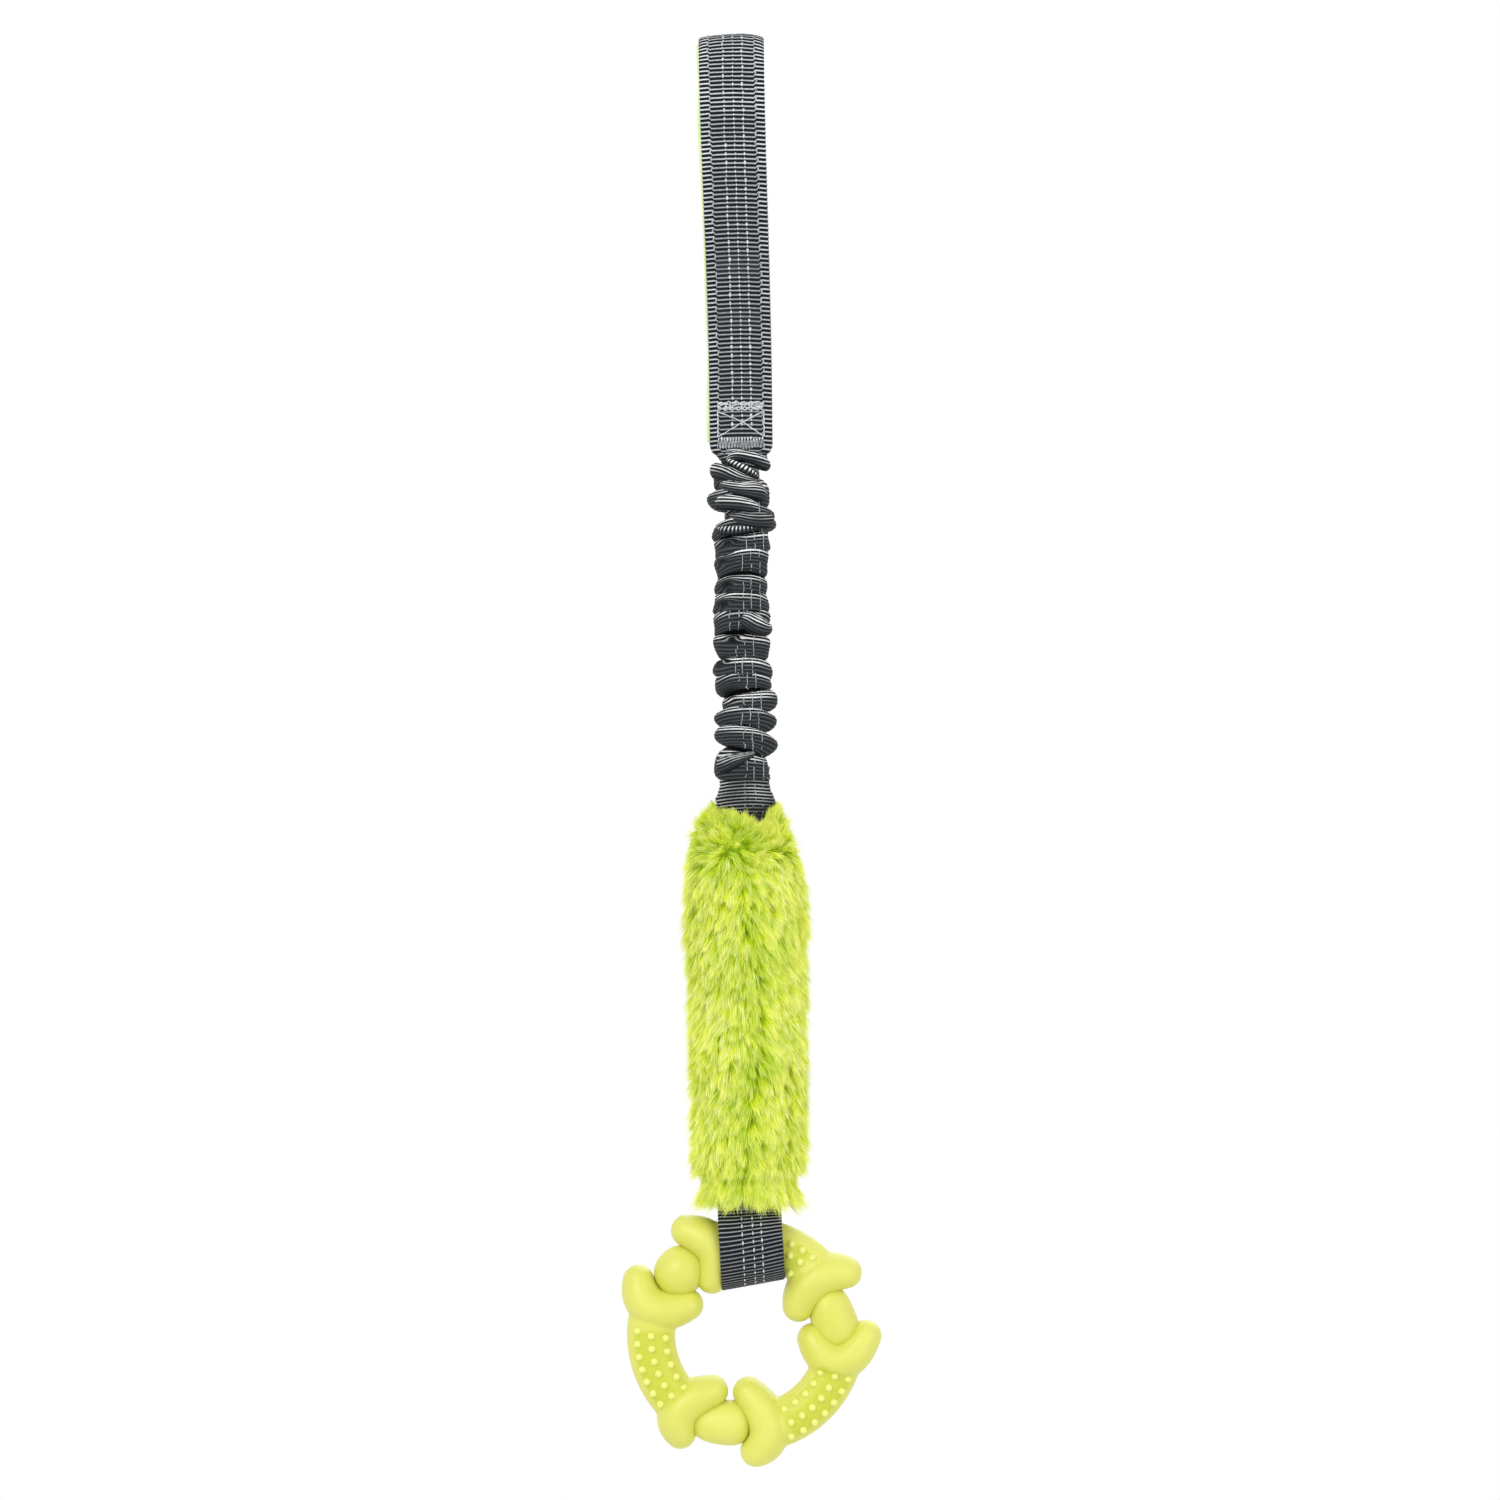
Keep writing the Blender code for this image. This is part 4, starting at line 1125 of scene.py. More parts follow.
tucks = {
    "rings": 36,
    "step": 0.0003,
    "ribPitch": 0.00128,
    "coilPitch": 0.0014,
    "ribHeight": 0.0003,
    "flat": 0.8,
    "firstSeed": 200,
    # loose folds in front of the gathers: whether their ribs coil round them, how much painted light they get, and
    # places (across, out, up) with a half height at each, left to right
    "neckFolds": {
        "archFold": (
            False, 1.0,
            (
                (-0.0050, -0.0056, -0.1577, 0.0011), (-0.0034, -0.0066, -0.1564, 0.0016),
                (0.0002, -0.0074, -0.1559, 0.0019), (0.0047, -0.0072, -0.1570, 0.0021),
                (0.0088, -0.0060, -0.1590, 0.0021), (0.0100, -0.0030, -0.1600, 0.0017),
            ),
        ),
        "coilFold": (
            True, 1.0,
            (
                (-0.0056, -0.0058, -0.1574, 0.0009), (-0.0026, -0.0080, -0.1593, 0.0012),
                (0.0019, -0.0088, -0.1617, 0.0013), (0.0060, -0.0068, -0.1640, 0.0010),
            ),
        ),
        "leftFold": (
            False, 0.8,
            (
                (-0.0096, 0.0000, -0.1606, 0.0020), (-0.0098, -0.0034, -0.1614, 0.0026),
                (-0.0076, -0.0066, -0.1620, 0.0027), (-0.0040, -0.0078, -0.1632, 0.0024),
                (-0.0004, -0.0082, -0.1645, 0.0020), (0.0030, -0.0076, -0.1655, 0.0015),
                (0.0058, -0.0056, -0.1658, 0.0010),
            ),
        ),
    },
    "sleeveFolds": {
        "broadFold": (
            False, 1.0,
            (
                (-0.0084, -0.0030, -0.1652, 0.0018), (-0.0054, -0.0066, -0.1672, 0.0026),
                (0.0001, -0.0080, -0.1686, 0.0029), (0.0050, -0.0074, -0.1694, 0.0036),
                (0.0068, -0.0046, -0.1706, 0.0038), (0.0076, -0.0010, -0.1711, 0.0034),
            ),
        ),
        "bundleFold": (
            False, 1.0,
            (
                (-0.0090, -0.0016, -0.1728, 0.0022), (-0.0090, -0.0050, -0.1734, 0.0026),
                (-0.0052, -0.0076, -0.1736, 0.0026), (-0.0003, -0.0090, -0.1740, 0.0025),
                (0.0042, -0.0086, -0.1756, 0.0024), (0.0068, -0.0058, -0.1774, 0.0016),
            ),
        ),
        "darkFold": (
            False, 0.5,
            (
                (-0.0044, -0.0058, -0.1788, 0.0013), (-0.0030, -0.0072, -0.1794, 0.0022),
                (0.0006, -0.0084, -0.1799, 0.0027), (0.0048, -0.0082, -0.1803, 0.0031),
                (0.0088, -0.0062, -0.1806, 0.0033), (0.0102, -0.0020, -0.1808, 0.0031),
            ),
        ),
        "ropeFold": (
            True, 0.75,
            (
                (-0.0094, -0.0030, -0.1832, 0.0012), (-0.0064, -0.0074, -0.1842, 0.0015),
                (-0.0016, -0.0088, -0.1843, 0.0014), (0.0030, -0.0086, -0.1836, 0.0012),
                (0.0076, -0.0072, -0.1824, 0.0010),
            ),
        ),
        "twistFold": (
            False, 1.0,
            (
                (-0.0006, -0.0074, -0.2166, 0.0012), (0.0020, -0.0086, -0.2180, 0.0032),
                (0.0054, -0.0088, -0.2200, 0.0037), (0.0084, -0.0070, -0.2212, 0.0028),
                (0.0104, -0.0034, -0.2208, 0.0014),
            ),
        ),
        "hookFold": (
            False, 0.7,
            (
                (-0.0094, -0.0026, -0.2736, 0.0028), (-0.0074, -0.0066, -0.2728, 0.0032),
                (-0.0030, -0.0090, -0.2712, 0.0025), (0.0010, -0.0090, -0.2695, 0.0016),
                (0.0042, -0.0076, -0.2684, 0.0008),
            ),
        ),
    },
}


def smoothPath(spots, step):
    # a rounded path through a few spots, in even steps, with every value that belongs to a spot
    spots = np.array(spots)
    share = np.linspace(0, len(spots) - 1, 240)
    low = np.clip(share.astype(int), 0, len(spots) - 2)
    part = (share - low)[:, None]
    padded = np.concatenate([[2 * spots[0] - spots[1]], spots, [2 * spots[-1] - spots[-2]]])
    a, b, c, d = [padded[low + index] for index in range(4)]
    path = 0.5 * (2 * b + (c - a) * part + (2 * a - 5 * b + 4 * c - d) * part**2 + (3 * b - a - 3 * c + d) * part**3)
    length = lengthAlong(path[:, :3])
    where = np.linspace(0, length[-1], max(12, int(length[-1] / step)))
    return where, readAlong(where, length, path)


def makeTuck(name, coiled, light, spots, facing, seed):
    # one fold as a soft roll that closes at both ends; its ribs run along it, or round it like a rope
    where, path = smoothPath(spots, tucks["step"])
    if facing < 0:
        path = path[::-1] * (1, -1, 1, 1)
    share = where / where[-1]
    where = where[:, None]
    along = unit(np.gradient(path[:, :3], axis=0))
    upward = unit(np.array([0.0, 0.0, 1.0]) - along * along[:, [2]])
    outward = np.cross(along, upward)
    turn = np.linspace(0, 2 * math.pi, tucks["rings"] + 1)
    lie, side = np.cos(turn), np.sin(turn)
    round01 = turn / (2 * math.pi)
    closing = np.sqrt(np.clip(1 - np.abs(2 * share - 1) ** 7, 0, 1))[:, None]
    half = path[:, [3]] * closing + 0.0001
    half = half * (1 + 0.06 * ripple(seed, 7, where * 420, lie * 1.5, side * 1.5))
    # tone paints light on the upper side of each fold, as far as its light value allows
    if coiled:
        phase = where / tucks["coilPitch"] + round01
        tone = 0.15 + 0.85 * light * smoothStep(lie, -0.5, 0.6)
    else:
        count = max(4, round(2 * math.pi * path[:, 3].max() / tucks["ribPitch"]))
        phase = count * round01 + 0.6 * ripple(seed + 1, 4, where * 250)
        wander = 0.7 + 0.3 * ripple(seed + 2, 4, where * 300)
        tone = 0.18 + 0.76 * light * smoothStep(lie, -0.3, 0.35) * (0.7 + 0.3 * wander)
    rib = (ribShape(phase) - 0.5) * tucks["ribHeight"] * closing
    points = path[:, None, :3] + upward[:, None] * (lie * (half + rib))[..., None]
    points = points + outward[:, None] * (side * (half * tucks["flat"] + rib))[..., None]
    # painted shade on the fold's underside and in a thin crease along its top
    tone = tone * smoothStep(lie, -0.95, -0.45) * smoothStep(-lie, -1.0, -0.93)
    tone = np.clip(np.broadcast_to(tone, phase.shape), 0, 1)
    return laidGrid(name, points, round01 * 16, phase, tone)


def makeTucks():
    # every fold is there twice, in front and behind
    seed = tucks["firstSeed"]
    for group, blend in (("neckFolds", bending), ("sleeveFolds", stretching)):
        pieces = []
        for name, form in tucks[group].items():
            pieces += [makeTuck(name, *form, facing, seed + facing) for facing in (1, -1)]
            seed += 5
        piece = pieces[0]
        joinInto(piece, pieces[1:])
        piece.name = group
        finish(piece, "sleeveWebbing", blend=blend)


makeSleeve()
makeNeck("upperNeckFold", necks["upper"], -0.0006, bending, 91)
lowerNeck = makeNeck("lowerNeckFold", necks["lower"], 0.0004, necks["lowerBlend"], 95)
makeSleeveThreads("lowerNeckThreads", *lowerNeck, necks["threadColumns"], necks["lowerBlend"])
makeTucks()
print("bungee done")


# Elastic cords inside the sleeve

cords = {
    "radius": 0.002,
    "spacing": 0.0046,
    "top": -0.1683,
    "end": -0.2696,
    "rib": 0.00018,
    "anchorSize": (0.0128, 0.004, 0.0134),
    "anchorTop": -0.1546,
    "anchorRound": 0.0008,
    "stitchLevel": -0.15855,
    "stitchHalf": 0.0052,
    "stitchPitch": 0.0012,
}


def makeCords():
    where = np.linspace(cords["top"], cords["end"], 260)[:, None]
    turn = np.linspace(0, 2 * math.pi, 19)
    radius = cords["radius"] - cords["rib"] + cords["rib"] * np.sin(where * 4200 + turn * 2)
    for label, side in (("left", -1), ("right", 1)):
        points = placed(side * cords["spacing"] / 2 + radius * np.cos(turn), radius * np.sin(turn), where)
        piece = laidGrid(f"elasticCord{label.capitalize()}", points, turn, where * 1000)
        finish(piece, "elastic", blend=stretching, replaced=(f"elastic_cord_{label}",))


def makeAnchor():
    # the flat end of webbing that holds the cords at the top, narrow where the sleeve is drawn in
    wide, thick, high = cords["anchorSize"]
    deselectAll()
    bpy.ops.mesh.primitive_cube_add(size=1, location=(0, 0, cords["anchorTop"] - high / 2))
    piece = bpy.context.object
    piece.name = "elasticAnchorTop"
    piece.scale = (wide, thick, high)
    settle(piece)
    addModifier(piece, "BEVEL", width=cords["anchorRound"], segments=3)
    applyModifiers(piece)
    finish(piece, "innerWebbing", body="bungee_top", replaced=("elastic_anchor_top",))
    across = np.linspace(-cords["stitchHalf"], cords["stitchHalf"], 120)
    level = cords["stitchLevel"] + 0.00035 * np.sign(np.sin(across * 2 * math.pi / cords["stitchPitch"]))
    piece = threadCurve("anchorStitchTop", [placed(across, -thick / 2 - 0.0002, level)], 0.0002, 1)
    finish(piece, "greyThread", body="bungee_top", replaced=("anchor_stitch_top",))


makeCords()
makeAnchor()


# Plush body

plush = {
    "top": -0.2886,
    "length": 0.144,
    "dipLeft": 0.0034,
    "sway": -0.0013,
    "swayAt": 0.08,
    "swayReach": 0.05,
    "dipMiddle": 0.0052,
    "dipAt": 0.0042,
    "dipReach": 0.0052,
    "skinWidth": 0.0173,
    "skinDepth": 0.0130,
    "levels": (0.0, 0.03, 0.06, 0.10, 0.14, 0.20, 0.28, 0.36, 0.52, 0.90, 0.94, 0.965, 0.985, 1.0),
    "widths": (0.58, 0.70, 0.83, 0.95, 1.01, 1.05, 1.08, 1.03, 1.0, 0.98, 0.90, 0.76, 0.70, 0.62),
    "tufts": 7600,
    "strandsPerTuft": 30,
    "tuftRadius": 0.0012,
    "strandLength": 0.0088,
    "strandWidth": 0.00023,
    "pieces": 6,
    "pinchAt": 0.948,
    "pinchReach": 0.014,
    "fringeLevel": 0.935,
    "fringeBlend": ("fur_body", "ring_loop", -0.4300, -0.4500),
    "whorl": (-0.0052, -0.3058),
    "partingLevels": (-0.309, -0.340, -0.362, -0.379, -0.406, -0.423),
    "partingPlaces": (-0.0018, 0.0020, 0.0041, 0.0027, 0.0006, -0.0019),
}


def skinSize(level):
    share = np.interp(level, plush["levels"], plush["widths"])
    return plush["skinWidth"] * share, plush["skinDepth"] * share


def skinSway(level):
    # the top of the cover leans a little to the left
    return plush["sway"] * bell(level - plush["swayAt"], plush["swayReach"])


def plushHeight(level, x, side):
    # the mouth of the cover hangs lower in the middle of each face than at its right side
    beside = x * side
    dip = plush["dipLeft"] * (1 - smoothStep(beside, 0.006, 0.010))
    dip = dip + plush["dipMiddle"] * bell(beside - plush["dipAt"], plush["dipReach"])
    return plush["top"] - plush["length"] * level - dip * (1 - smoothStep(level, 0.0, 0.2))


def partingAt(height):
    return np.interp(-height, [-level for level in plush["partingLevels"]], plush["partingPlaces"])


def makeSkin():
    # the backing is a stuffed tube, drawn in at both ends round the webbing
    stretches = ((0, 0.06, 10), (0.06, 0.94, 60), (0.94, 1, 10))
    level = np.unique(np.concatenate([np.linspace(*stretch) for stretch in stretches]))[:, None]
    turn = np.linspace(0, 2 * math.pi, 73)
    across, front = np.cos(turn), np.sin(turn)
    width, depth = skinSize(level)
    lumps = 1 + 0.025 * ripple(101, 8, across * 2, front * 2, level * 14)
    x = width * across * lumps + skinSway(level)
    points = placed(x, depth * front * lumps, plushHeight(level, x, -np.sign(front)))
    piece = laidGrid("plushBacking", points, turn, level * 10)
    addModifier(piece, "SUBSURF", levels=1, render_levels=1)
    applyModifiers(piece)
    finish(piece, "backing", body="fur_body", replaced=("fur_cover",))


def tuftRoots(draw):
    count = plush["tufts"]
    level = draw.uniform(-0.004, 1.0, count)
    # a few more stand close together at both ends
    for low, high in ((0.0, 0.03), (0.95, 1.0)):
        level = np.where(draw.uniform(0, 1, count) < 0.06, draw.uniform(low, high, count), level)
    return np.clip(level, 0, 1), draw.uniform(0, 2 * math.pi, count)


def combing(roots, normal, level, draw):
    # which way the pile lies: down and outwards, a little parted along the front, and fanned out round a whorl
    # whose middle is crossed by strands from one side
    count = len(roots)
    x, _, z = roots.T
    facing = smoothStep(np.abs(normal[:, 1]), 0.1, 0.7)
    side = -np.sign(normal[:, 1])
    beside = x * side - partingAt(z)
    away = np.sign(beside) * side * bell(beside, 0.006) * facing
    whorlAcross, whorlHeight = plush["whorl"]
    fromWhorl = np.stack([x * side - whorlAcross, z - whorlHeight], 1)
    distance = np.linalg.norm(fromWhorl, axis=1)
    near = (bell(distance, 0.009) * facing)[:, None]
    centre = (bell(distance, 0.0042) * facing)[:, None]
    fan = fromWhorl / np.maximum(distance, 1e-5)[:, None]
    below = smoothStep(whorlHeight + 0.0085 * (1 - facing) - z, -0.003, 0.004)
    plain = placed(0, 0, -0.9 * below + 0.72 * (1 - below))
    radial = placed(fan[:, 0] * side, 0, fan[:, 1])
    crossing = placed(side * 0.85, 0, -0.4)
    lie = plain * (1 - near) + radial * (near * (1 - centre)) + crossing * centre
    sideways = placed(-normal[:, 1], normal[:, 0], 0)
    drift = 0.5 * ripple(113, 8, x * 160, roots[:, 1] * 160, z * 90)
    lift = 0.75 + draw.normal(0, 0.13, count)
    ways = []
    for out, fall, drifting, loose, parting in (
        (lift, 0.6, 0.4, 0.2, 0.2),
        (0.42 + 0.3 * smoothStep(level, 0.955, 0.985), 1.0, 0.45, 0.28, 0.25),
    ):
        way = normal * out[:, None] + lie * fall
        way = way + sideways * (drift * drifting + draw.normal(0, loose, count))[:, None]
        ways.append(unit(way + placed(away * parting, 0, 0)))
    return *ways, np.abs(away)


def makePile():
    draw = np.random.default_rng(111)
    level, angle = tuftRoots(draw)
    count = len(level)
    width, depth = skinSize(level)
    x, y = width * np.cos(angle) + skinSway(level), depth * np.sin(angle)
    roots = placed(x, y, plushHeight(level, x, -np.sign(y)))
    normal = unit(placed(np.cos(angle) / width, np.sin(angle) / depth, 0))
    start, end, parted = combing(roots, normal, level, draw)
    # near the parting the strands get low numbers, so more painted shade and fewer painted highlights
    own = np.clip(draw.uniform(0, 1, count) - 0.45 * parted, 0, 1)
    length = plush["strandLength"] * draw.uniform(0.75, 1.15, count)
    length = length * (0.5 + 0.5 * smoothStep(level, 0.0, 0.14)) * (1 + 0.45 * smoothStep(level, 0.955, 1.0))
    length = length * (1 - 0.4 * bell(level - plush["pinchAt"], plush["pinchReach"]))
    # darker tufts: random patches, and painted shade along the parting
    patchesAndPartingShade = 0.65 * ripple(117, 8, *(roots * 620).T) + draw.normal(0, 0.35, count) + 0.5 * parted
    order = np.arange(count)
    hanging = level > plush["fringeLevel"]
    groups = {f"plushPile{n + 1}": part for n, part in enumerate(np.array_split(order[~hanging], plush["pieces"]))}
    groups["plushFringe"] = order[hanging]
    for name, chosen in groups.items():
        piece = makeStrands(name, *[part[chosen] for part in (roots, normal, start, end, own, length, patchesAndPartingShade)], draw)
        if name == "plushFringe":
            # the fringe hangs down towards the loop below, and is left free of the body with its place baked in
            finish(piece, "pile", blend=plush["fringeBlend"])
        else:
            finish(piece, "pile", body="fur_body")


def makeStrands(name, roots, normal, start, end, number, length, patchesAndPartingShade, draw):
    # flat strands of three lengths each, drawn together towards the tip of their tuft
    each = plush["strandsPerTuft"]
    total = len(roots) * each
    tuft = np.repeat(np.arange(len(roots)), each)
    sideways = placed(-normal[:, 1], normal[:, 0], 0)[tuft]
    spread = plush["tuftRadius"] * np.sqrt(draw.uniform(0, 1, total))
    heading = draw.uniform(0, 2 * math.pi, total)
    offset = sideways * (spread * np.cos(heading))[:, None] + placed(0, 0, spread * np.sin(heading))
    reach = length[tuft] * draw.uniform(0.7, 1.1, total)
    gather = draw.uniform(0.0, 0.75, total)
    frizz = draw.normal(0, 0.0006, (total, 3))
    bend = draw.normal(0, 0.00035, (total, 3))
    facing = draw.uniform(-0.7, 0.7, total)[:, None]
    steps = (0.0, 0.34, 0.68, 1.0)
    centres = []
    for step in steps:
        path = start[tuft] * (step - step * step / 2) + end[tuft] * (step * step / 2)
        centre = roots[tuft] + path * reach[:, None] * 1.1 + offset * (1 - gather * step)[:, None]
        centres.append(centre + frizz * step**2 + bend * math.sin(math.pi * step))
    along = unit(centres[-1] - centres[0])
    broad = unit(np.cross(along, normal[tuft]))
    turned = broad * np.cos(facing) + np.cross(along, broad) * np.sin(facing)
    own = draw.uniform(0, 1, total)
    half = turned * (plush["strandWidth"] / 2 * (0.75 + 0.7 * own**3))[:, None]
    rows = []
    for centre, share in zip(centres, (0.9, 1.0, 0.75)):
        rows += [centre - half * share, centre + half * share]
    points = np.stack(rows + [centres[-1]], 1).reshape(-1, 3)
    # two quads and a tip over seven points
    pattern = np.array([0, 1, 3, 2, 2, 3, 5, 4, 4, 5, 6])
    corners = (pattern + np.arange(total)[:, None] * 7).ravel()
    piece = meshFrom(name, points, corners, np.tile([4, 4, 3], total))
    addTone(piece, np.repeat(patchesAndPartingShade[tuft], 7))
    heights = np.array([*np.repeat(steps[:3], 2), 1.0])
    shown = 0.35 * number[tuft] + 0.65 * own
    laid = np.stack([np.repeat(shown, len(pattern)), np.tile(heights[pattern], total)], 1)
    piece.data.uv_layers.new(name="UVMap").data.foreach_set("uv", laid.astype(np.float32).ravel())
    return piece


def makeSeam():
    # the lengthwise seam lies on the backing, out of sight under the parted pile
    level = np.linspace(0.2, 0.92, 420)
    width, depth = skinSize(level)
    height = plush["top"] - plush["length"] * level
    x = partingAt(height) + 0.0005 * np.sin(height * 2600)
    path = placed(x, -depth * np.sqrt(1 - (x / width) ** 2) - 0.0001, height)
    piece = threadCurve("plushSeamThread", [path], 0.00022, 1)
    finish(piece, "limeThread", body="fur_body", replaced=("fur_seam_thread",))


makeSkin()
makePile()
makeSeam()
print("plush body done")


# Webbing loop round the ring

tab = {
    "pivot": -0.4363,
    "drop": 0.0176,
    "inner": 0.0134,
    "slack": 0.0011,
    "thick": 0.0015,
    "halfWidth": 0.0117,
    "hem": 0.0004,
    "lip": 0.00015,
    "columns": 32,
    "neckRadius": 0.002,
    "slotDrop": 0.0032,
    "lean": 0.035,
    "slant": 0.17,
    "ribPitch": 0.00158,
    "ribHeight": 0.00026,
    "edgeRib": 0.0002,
    "ribRows": 7,
    "threadColumns": (-0.0031, 0.0009, 0.0041),
}


def tabLine():
    # the side view of the loop's outer face, from the front of its neck down round the ring to the back
    radius = tab["inner"] + tab["thick"]
    lean = math.asin((radius - tab["neckRadius"]) / tab["drop"])
    arcs = (
        (radius, -tab["drop"] - tab["slack"], np.linspace(-math.pi / 2, 0, 60)),
        (radius, -tab["drop"], np.linspace(0, lean, 20)[1:]),
        (tab["neckRadius"], 0.0, np.linspace(lean, lean + 0.5, 8)),
    )
    back = np.concatenate([np.stack([size * np.cos(turn), low + size * np.sin(turn)], 1) for size, low, turn in arcs])
    # even steps along the half, then mirrored to the front
    length = lengthAlong(back)
    where = np.linspace(0, length[-1], 240)
    back = readAlong(where, length, back)
    line = np.concatenate([back[:0:-1] * (-1, 1), back])
    slope = unit(np.gradient(line, axis=0))
    return np.append(-where[:0:-1], where), line, np.stack([slope[:, 1], -slope[:, 0]], 1)


def leanAndSlant(points):
    drop = -(points[..., 2] - tab["pivot"])
    share = np.clip((drop - tab["slotDrop"]) / (tab["drop"] - tab["slotDrop"]), 0, 1)
    across = points[..., 0].copy()
    points[..., 0] = across + tab["lean"] * drop * share
    points[..., 2] = points[..., 2] + tab["slant"] * across * share
    return points


def makeTab():
    line = tabLine()
    reach = line[0][-1]
    where = np.linspace(-reach, reach, int(2 * reach / tab["ribPitch"] * tab["ribRows"]))[:, None]
    across, rise, shown = bandSection(tab)
    phase = where / tab["ribPitch"] + 0.1 * ripple(121, 5, across * 300, where * 100)
    rib = ribShape(phase)
    height = (rise - 1) * tab["thick"] + shown * tab["ribHeight"] * (rib - 1.0)
    points = leanAndSlant(onFace(line, where, across + edgeSpread(across, tab, rib), height, tab["pivot"]))
    # tone, which sets the painted crest highlights, is higher towards the loop's top, where light falls on it
    tone = 0.4 + 0.2 * smoothStep(points[..., 2], -0.456, -0.44)
    piece = laidGrid("ringLoopStrap", points, across * 1000, phase, tone)
    finish(piece, "tabWebbing", body="ring_loop", replaced=("ring_loop_strap",))
    draw = np.random.default_rng(131)
    places, axes = [], []
    step = tab["ribPitch"] * 2
    for column in tab["threadColumns"]:
        for facing in (-1, 1):
            spots = facing * np.arange(0.3, reach / step - 0.5) * step
            size = draw.uniform(0.8, 1.2, len(spots))
            places.append(leanAndSlant(onFace(line, spots, column, 0.00012, tab["pivot"])))
            axes.append(sized(faceAxes(line, spots), (0.0003, 0.00085 * size, 0.00026)))
    piece = scatteredBeads("ringLoopThreadDashes", np.concatenate(places), np.concatenate(axes))
    finish(piece, "lightThread", body="ring_loop")


makeTab()


# Rubber ring

ringForm = {
    "centre": (-0.0014, 0, -0.4886),
    "shaftRadius": 0.0092,
    "shaftDepth": 0.0088,
    # each link as the distance of its middle, its angle, how it is turned, half length, radius,
    # how much wider its far end is and how square its ends are
    "links": (
        (0.0331, 10.8, 6.7, 0.0116, 0.0086, -0.10, 3.0),
        (0.0349, 136.3, 0.0, 0.0098, 0.0094, 0.0, 2.2),
        (0.0349, 252.5, 15.5, 0.0114, 0.0084, 0.16, 2.6),
    ),
    "linkDepth": 1.04,
    "lobeRadius": 0.0061,
    "lobeDepth": 0.0088,
    "bodyHalf": 0.0078,
    "bodyDepth": 0.0116,
    "chain": 15,
    "voxel": 0.0006,
    "smoothing": 8,
    # each bone's end by link and side: inner lobe, body and outer lobe as distance from the ring's middle and angle
    "knuckles": (
        ((0.0252, 121.2), (0.0348, 110.0), (0.0455, 119.6)),
        ((0.0252, 152.8), (0.0373, 163.4), (0.0459, 153.2)),
        ((0.0222, 28.4), (0.0335, 38.9), (0.0442, 31.4)),
        ((0.0250, -4.5), (0.0358, -16.6), (0.0449, -1.4)),
        ((0.0221, 270.9), (0.0360, 282.4), (0.0443, 273.8)),
        ((0.0252, 237.8), (0.0375, 227.4), (0.0451, 235.2)),
    ),
    # the shafts between them as start, end and distance from the middle
    "shafts": ((34, 114, 0.0351), (158, 232, 0.0364), (278, 348, 0.0357)),
    "sink": 0.0003,
    # three rows of nubs on each shaft, from the outer one inwards: distances from the middle and angles
    "nubRows": ((0.0388, 0.0346, 0.0288), (0.0417, 0.0362, 0.0306), (0.0415, 0.0363, 0.0307)),
    "nubSpans": (
        ((49.8, 92.0), (54.1, 91.5), (54.7, 91.0)),
        ((176.6, 217.5), (179.0, 217.5), (180.7, 218.7)),
        ((293.1, 336.4), (296.6, 335.2), (296.5, 333.2)),
    ),
    "nubCounts": (7, 6, 5),
    "nubRadius": 0.0015,
    "nubHeight": 0.0015,
}


def spoke(degrees):
    # the directions out from the ring's middle and along the ring
    turn = math.radians(degrees)
    return np.array([math.cos(turn), 0, math.sin(turn)]), np.array([-math.sin(turn), 0, math.cos(turn)])


def onRing(radius, degrees):
    return np.array(ringForm["centre"]) + radius * spoke(degrees)[0]


def makeKnuckle(number, spots):
    # a row of balls along a bent line through both lobes, to be merged with the rest
    inner, body, outer = [onRing(*spot) for spot in spots]
    straight = (outer - inner) / 2
    bent = (outer + inner) / 2 - body
    beads = []
    for share in np.linspace(-1, 1, ringForm["chain"]):
        radius, depth = [
            ringForm[middle] + (ringForm[tip] - ringForm[middle]) * abs(share) ** 3
            for middle, tip in (("bodyHalf", "lobeRadius"), ("bodyDepth", "lobeDepth"))
        ]
        bead = addBall(24, 16, body + straight * share + bent * share**2)
        bead.scale = (radius, depth, radius)
        settle(bead)
        beads.append(bead)
    joinInto(beads[0], beads[1:])
    beads[0].name = f"knuckle{number}"
    return beads[0]


def makeShaft(number, start, end, radius):
    # an arc of the ring, as a curve with a round section, made a mesh
    path = [onRing(radius, start + (end - start) * step / 40) for step in range(41)]
    piece = threadCurve(f"shaft{number}", [path], ringForm["shaftRadius"], 8)
    for vertex in piece.data.vertices:
        vertex.co.y *= ringForm["shaftDepth"] / ringForm["shaftRadius"]
    return piece


def makeLink(number, distance, degrees, tilt, halfLength, width, taper, power):
    # a ball drawn out into a barrel between two bones
    piece = addBall(64, 40)
    piece.name = f"link{number}"
    middle = onRing(distance, degrees)
    out, along = spoke(degrees + tilt)
    for vertex in piece.data.vertices:
        share = vertex.co.z
        slim = max(math.hypot(vertex.co.x, vertex.co.y), 1e-4)
        fuller = max(1 - abs(share) ** power, 0) ** (1 / power) / slim
        radius = width * (1 + taper * share) * fuller
        place = middle + out * vertex.co.x * radius + along * share * halfLength
        vertex.co = Vector(place) + Vector((0, vertex.co.y * radius * ringForm["linkDepth"], 0))
    closeUp(piece)
    addTone(piece, np.zeros(len(piece.data.vertices)))
    return piece


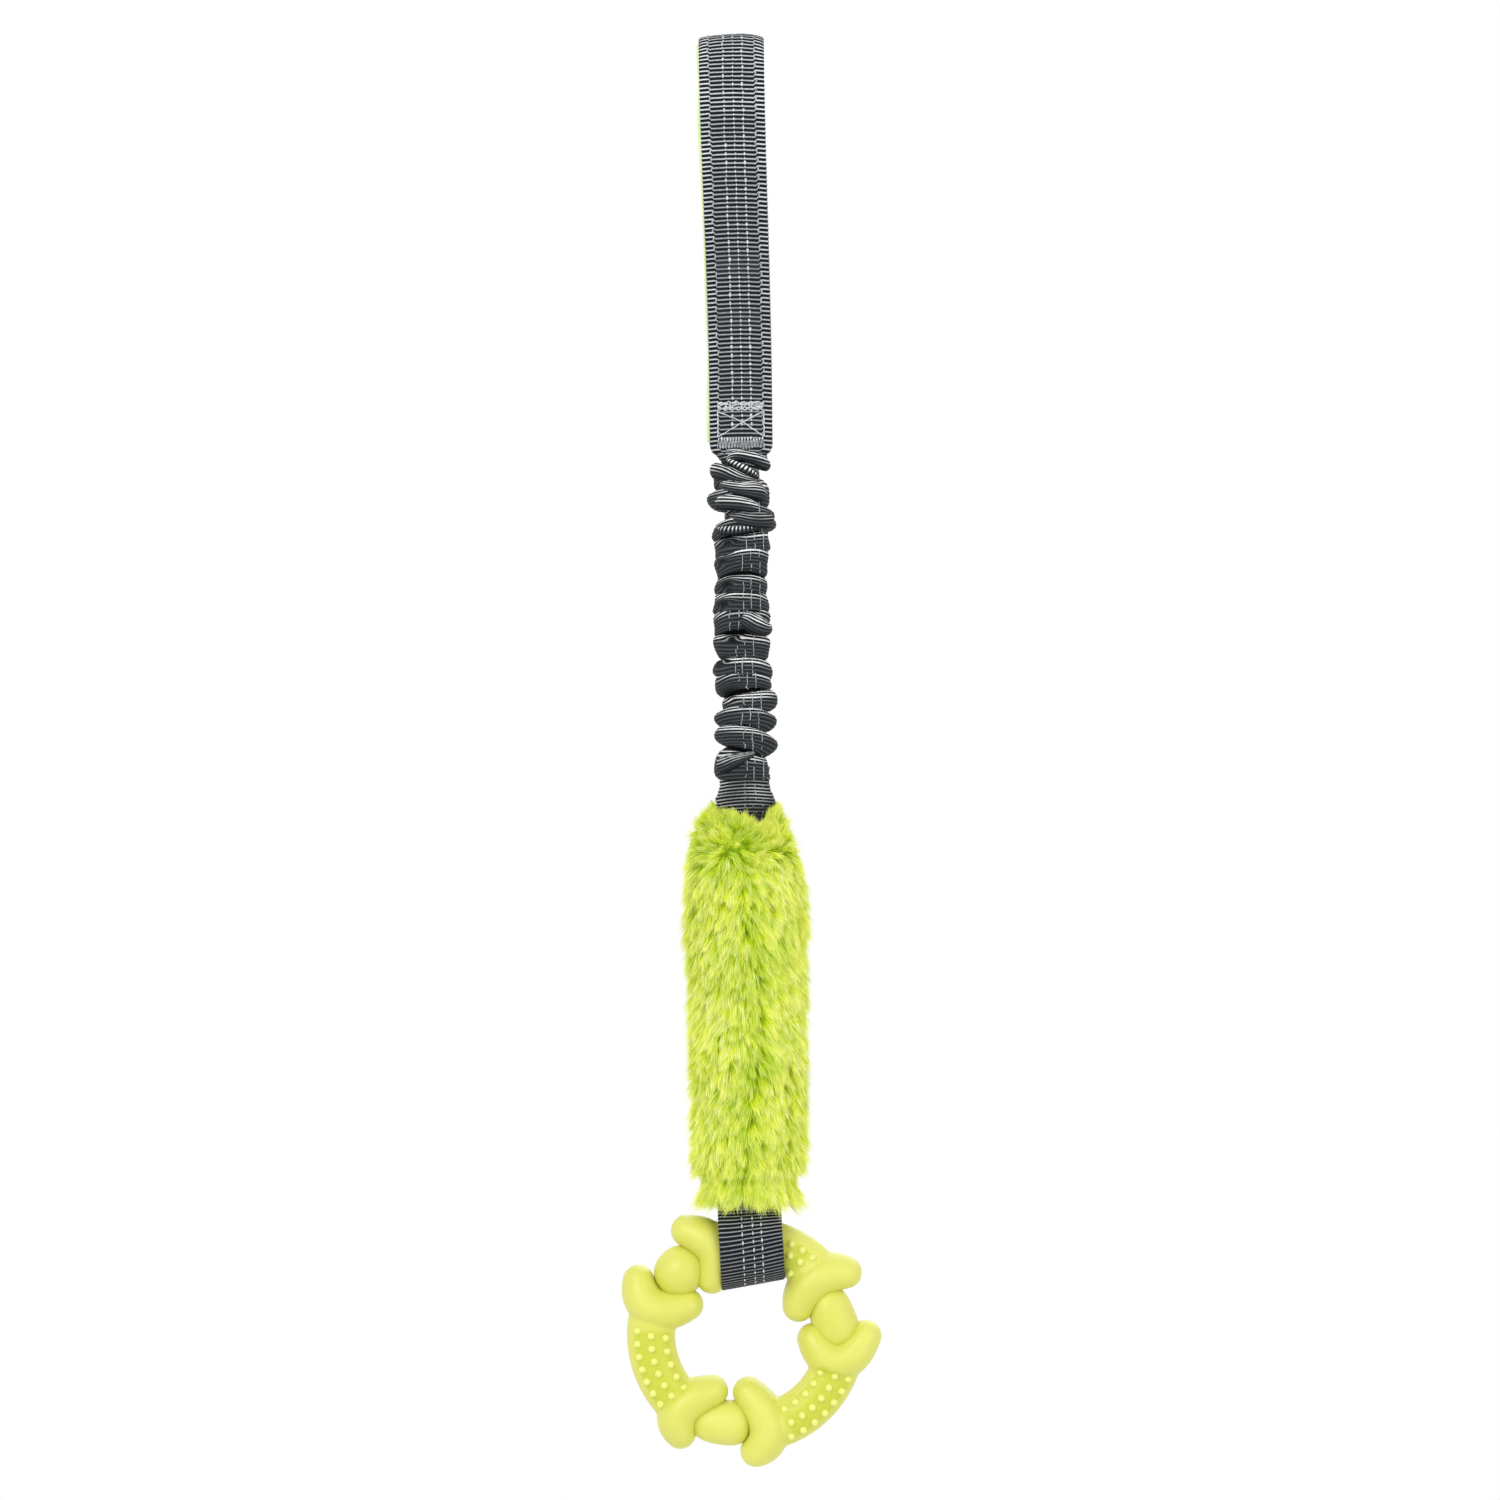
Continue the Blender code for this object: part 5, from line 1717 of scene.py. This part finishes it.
def makeNubs():
    places, axes = [], []
    flat = ringForm["shaftDepth"] / ringForm["shaftRadius"]
    for (_, _, middle), rows, spans in zip(ringForm["shafts"], ringForm["nubRows"], ringForm["nubSpans"]):
        for radius, (start, end), count in zip(rows, spans, ringForm["nubCounts"]):
            lean = math.asin((radius - middle) / ringForm["shaftRadius"])
            for degrees in np.linspace(start, end, count):
                ringOut, along = spoke(degrees)
                for facing in (-1, 1):
                    out = ringOut * math.sin(lean) + np.array([0, facing * math.cos(lean), 0])
                    place = onRing(middle, degrees) + out * (ringForm["shaftRadius"] - ringForm["sink"] - 0.0002)
                    places.append(place * (1, flat, 1))
                    size = ringForm["nubRadius"]
                    axes.append([along * size, np.cross(out, along) * size, out * ringForm["nubHeight"]])
    nubs = scatteredBeads("nubs", np.array(places), np.array(axes), 16, 10)
    # a tone of -1 paints a highlight on every nub
    addTone(nubs, np.full(len(nubs.data.vertices), -1.0))
    return nubs


def nubField(ring):
    # how far each point lies inside the sunk fields that hold the nubs
    flat = readVertices(ring) - np.array(ringForm["centre"])
    radius = np.hypot(flat[:, 0], flat[:, 2])
    degrees = np.degrees(np.arctan2(flat[:, 2], flat[:, 0])) % 360
    field = np.zeros(len(flat))
    for rows, spans in zip(ringForm["nubRows"], ringForm["nubSpans"]):
        start, end = spans[1]
        inside = smoothStep(degrees, start - 6, start + 1) * smoothStep(-degrees, -end - 6, -end + 1)
        band = smoothStep(radius, rows[2] - 0.0028, rows[2]) * smoothStep(-radius, -rows[0] - 0.0026, -rows[0] + 0.0004)
        field = np.maximum(field, inside * band)
    return field


def makeRing():
    pieces = [makeKnuckle(number, spots) for number, spots in enumerate(ringForm["knuckles"])]
    pieces += [makeShaft(number, *form) for number, form in enumerate(ringForm["shafts"])]
    ring = pieces[0]
    joinInto(ring, pieces[1:])
    ring.name = "tugRing"
    addModifier(ring, "REMESH", mode="VOXEL", voxel_size=ringForm["voxel"])
    addModifier(ring, "SMOOTH", factor=0.5, iterations=ringForm["smoothing"])
    applyModifiers(ring)
    sunkAndShaded = nubField(ring)
    sunkPlaces = readVertices(ring) - readVertices(ring, "normal") * (sunkAndShaded * ringForm["sink"])[:, None]
    ring.data.vertices.foreach_set("co", sunkPlaces.ravel())
    # the sunk fields are also painted with shade through their tone
    addTone(ring, sunkAndShaded)
    joinInto(ring, [makeNubs()] + [makeLink(number, *form) for number, form in enumerate(ringForm["links"])])
    finish(ring, "rubber", body="ring", replaced=("tug_ring",))


makeRing()
print("ring end done")


# The CAD pieces that stay

carried = {
    "innerWebbing": ("sleeve_top_tab", "elastic_anchor_bottom", "core_strap"),
    "greyThread": ("anchor_stitch_bottom", "ring_loop_bartack"),
    "limeThread": ("fur_top_stitch", "fur_bottom_stitch"),
    "fibre": ("stuffing_front", "stuffing_back"),
}
for material, nodes in carried.items():
    for node in nodes:
        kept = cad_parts[node]
        kept.data.materials.clear()
        kept.data.materials.append(materials[material])
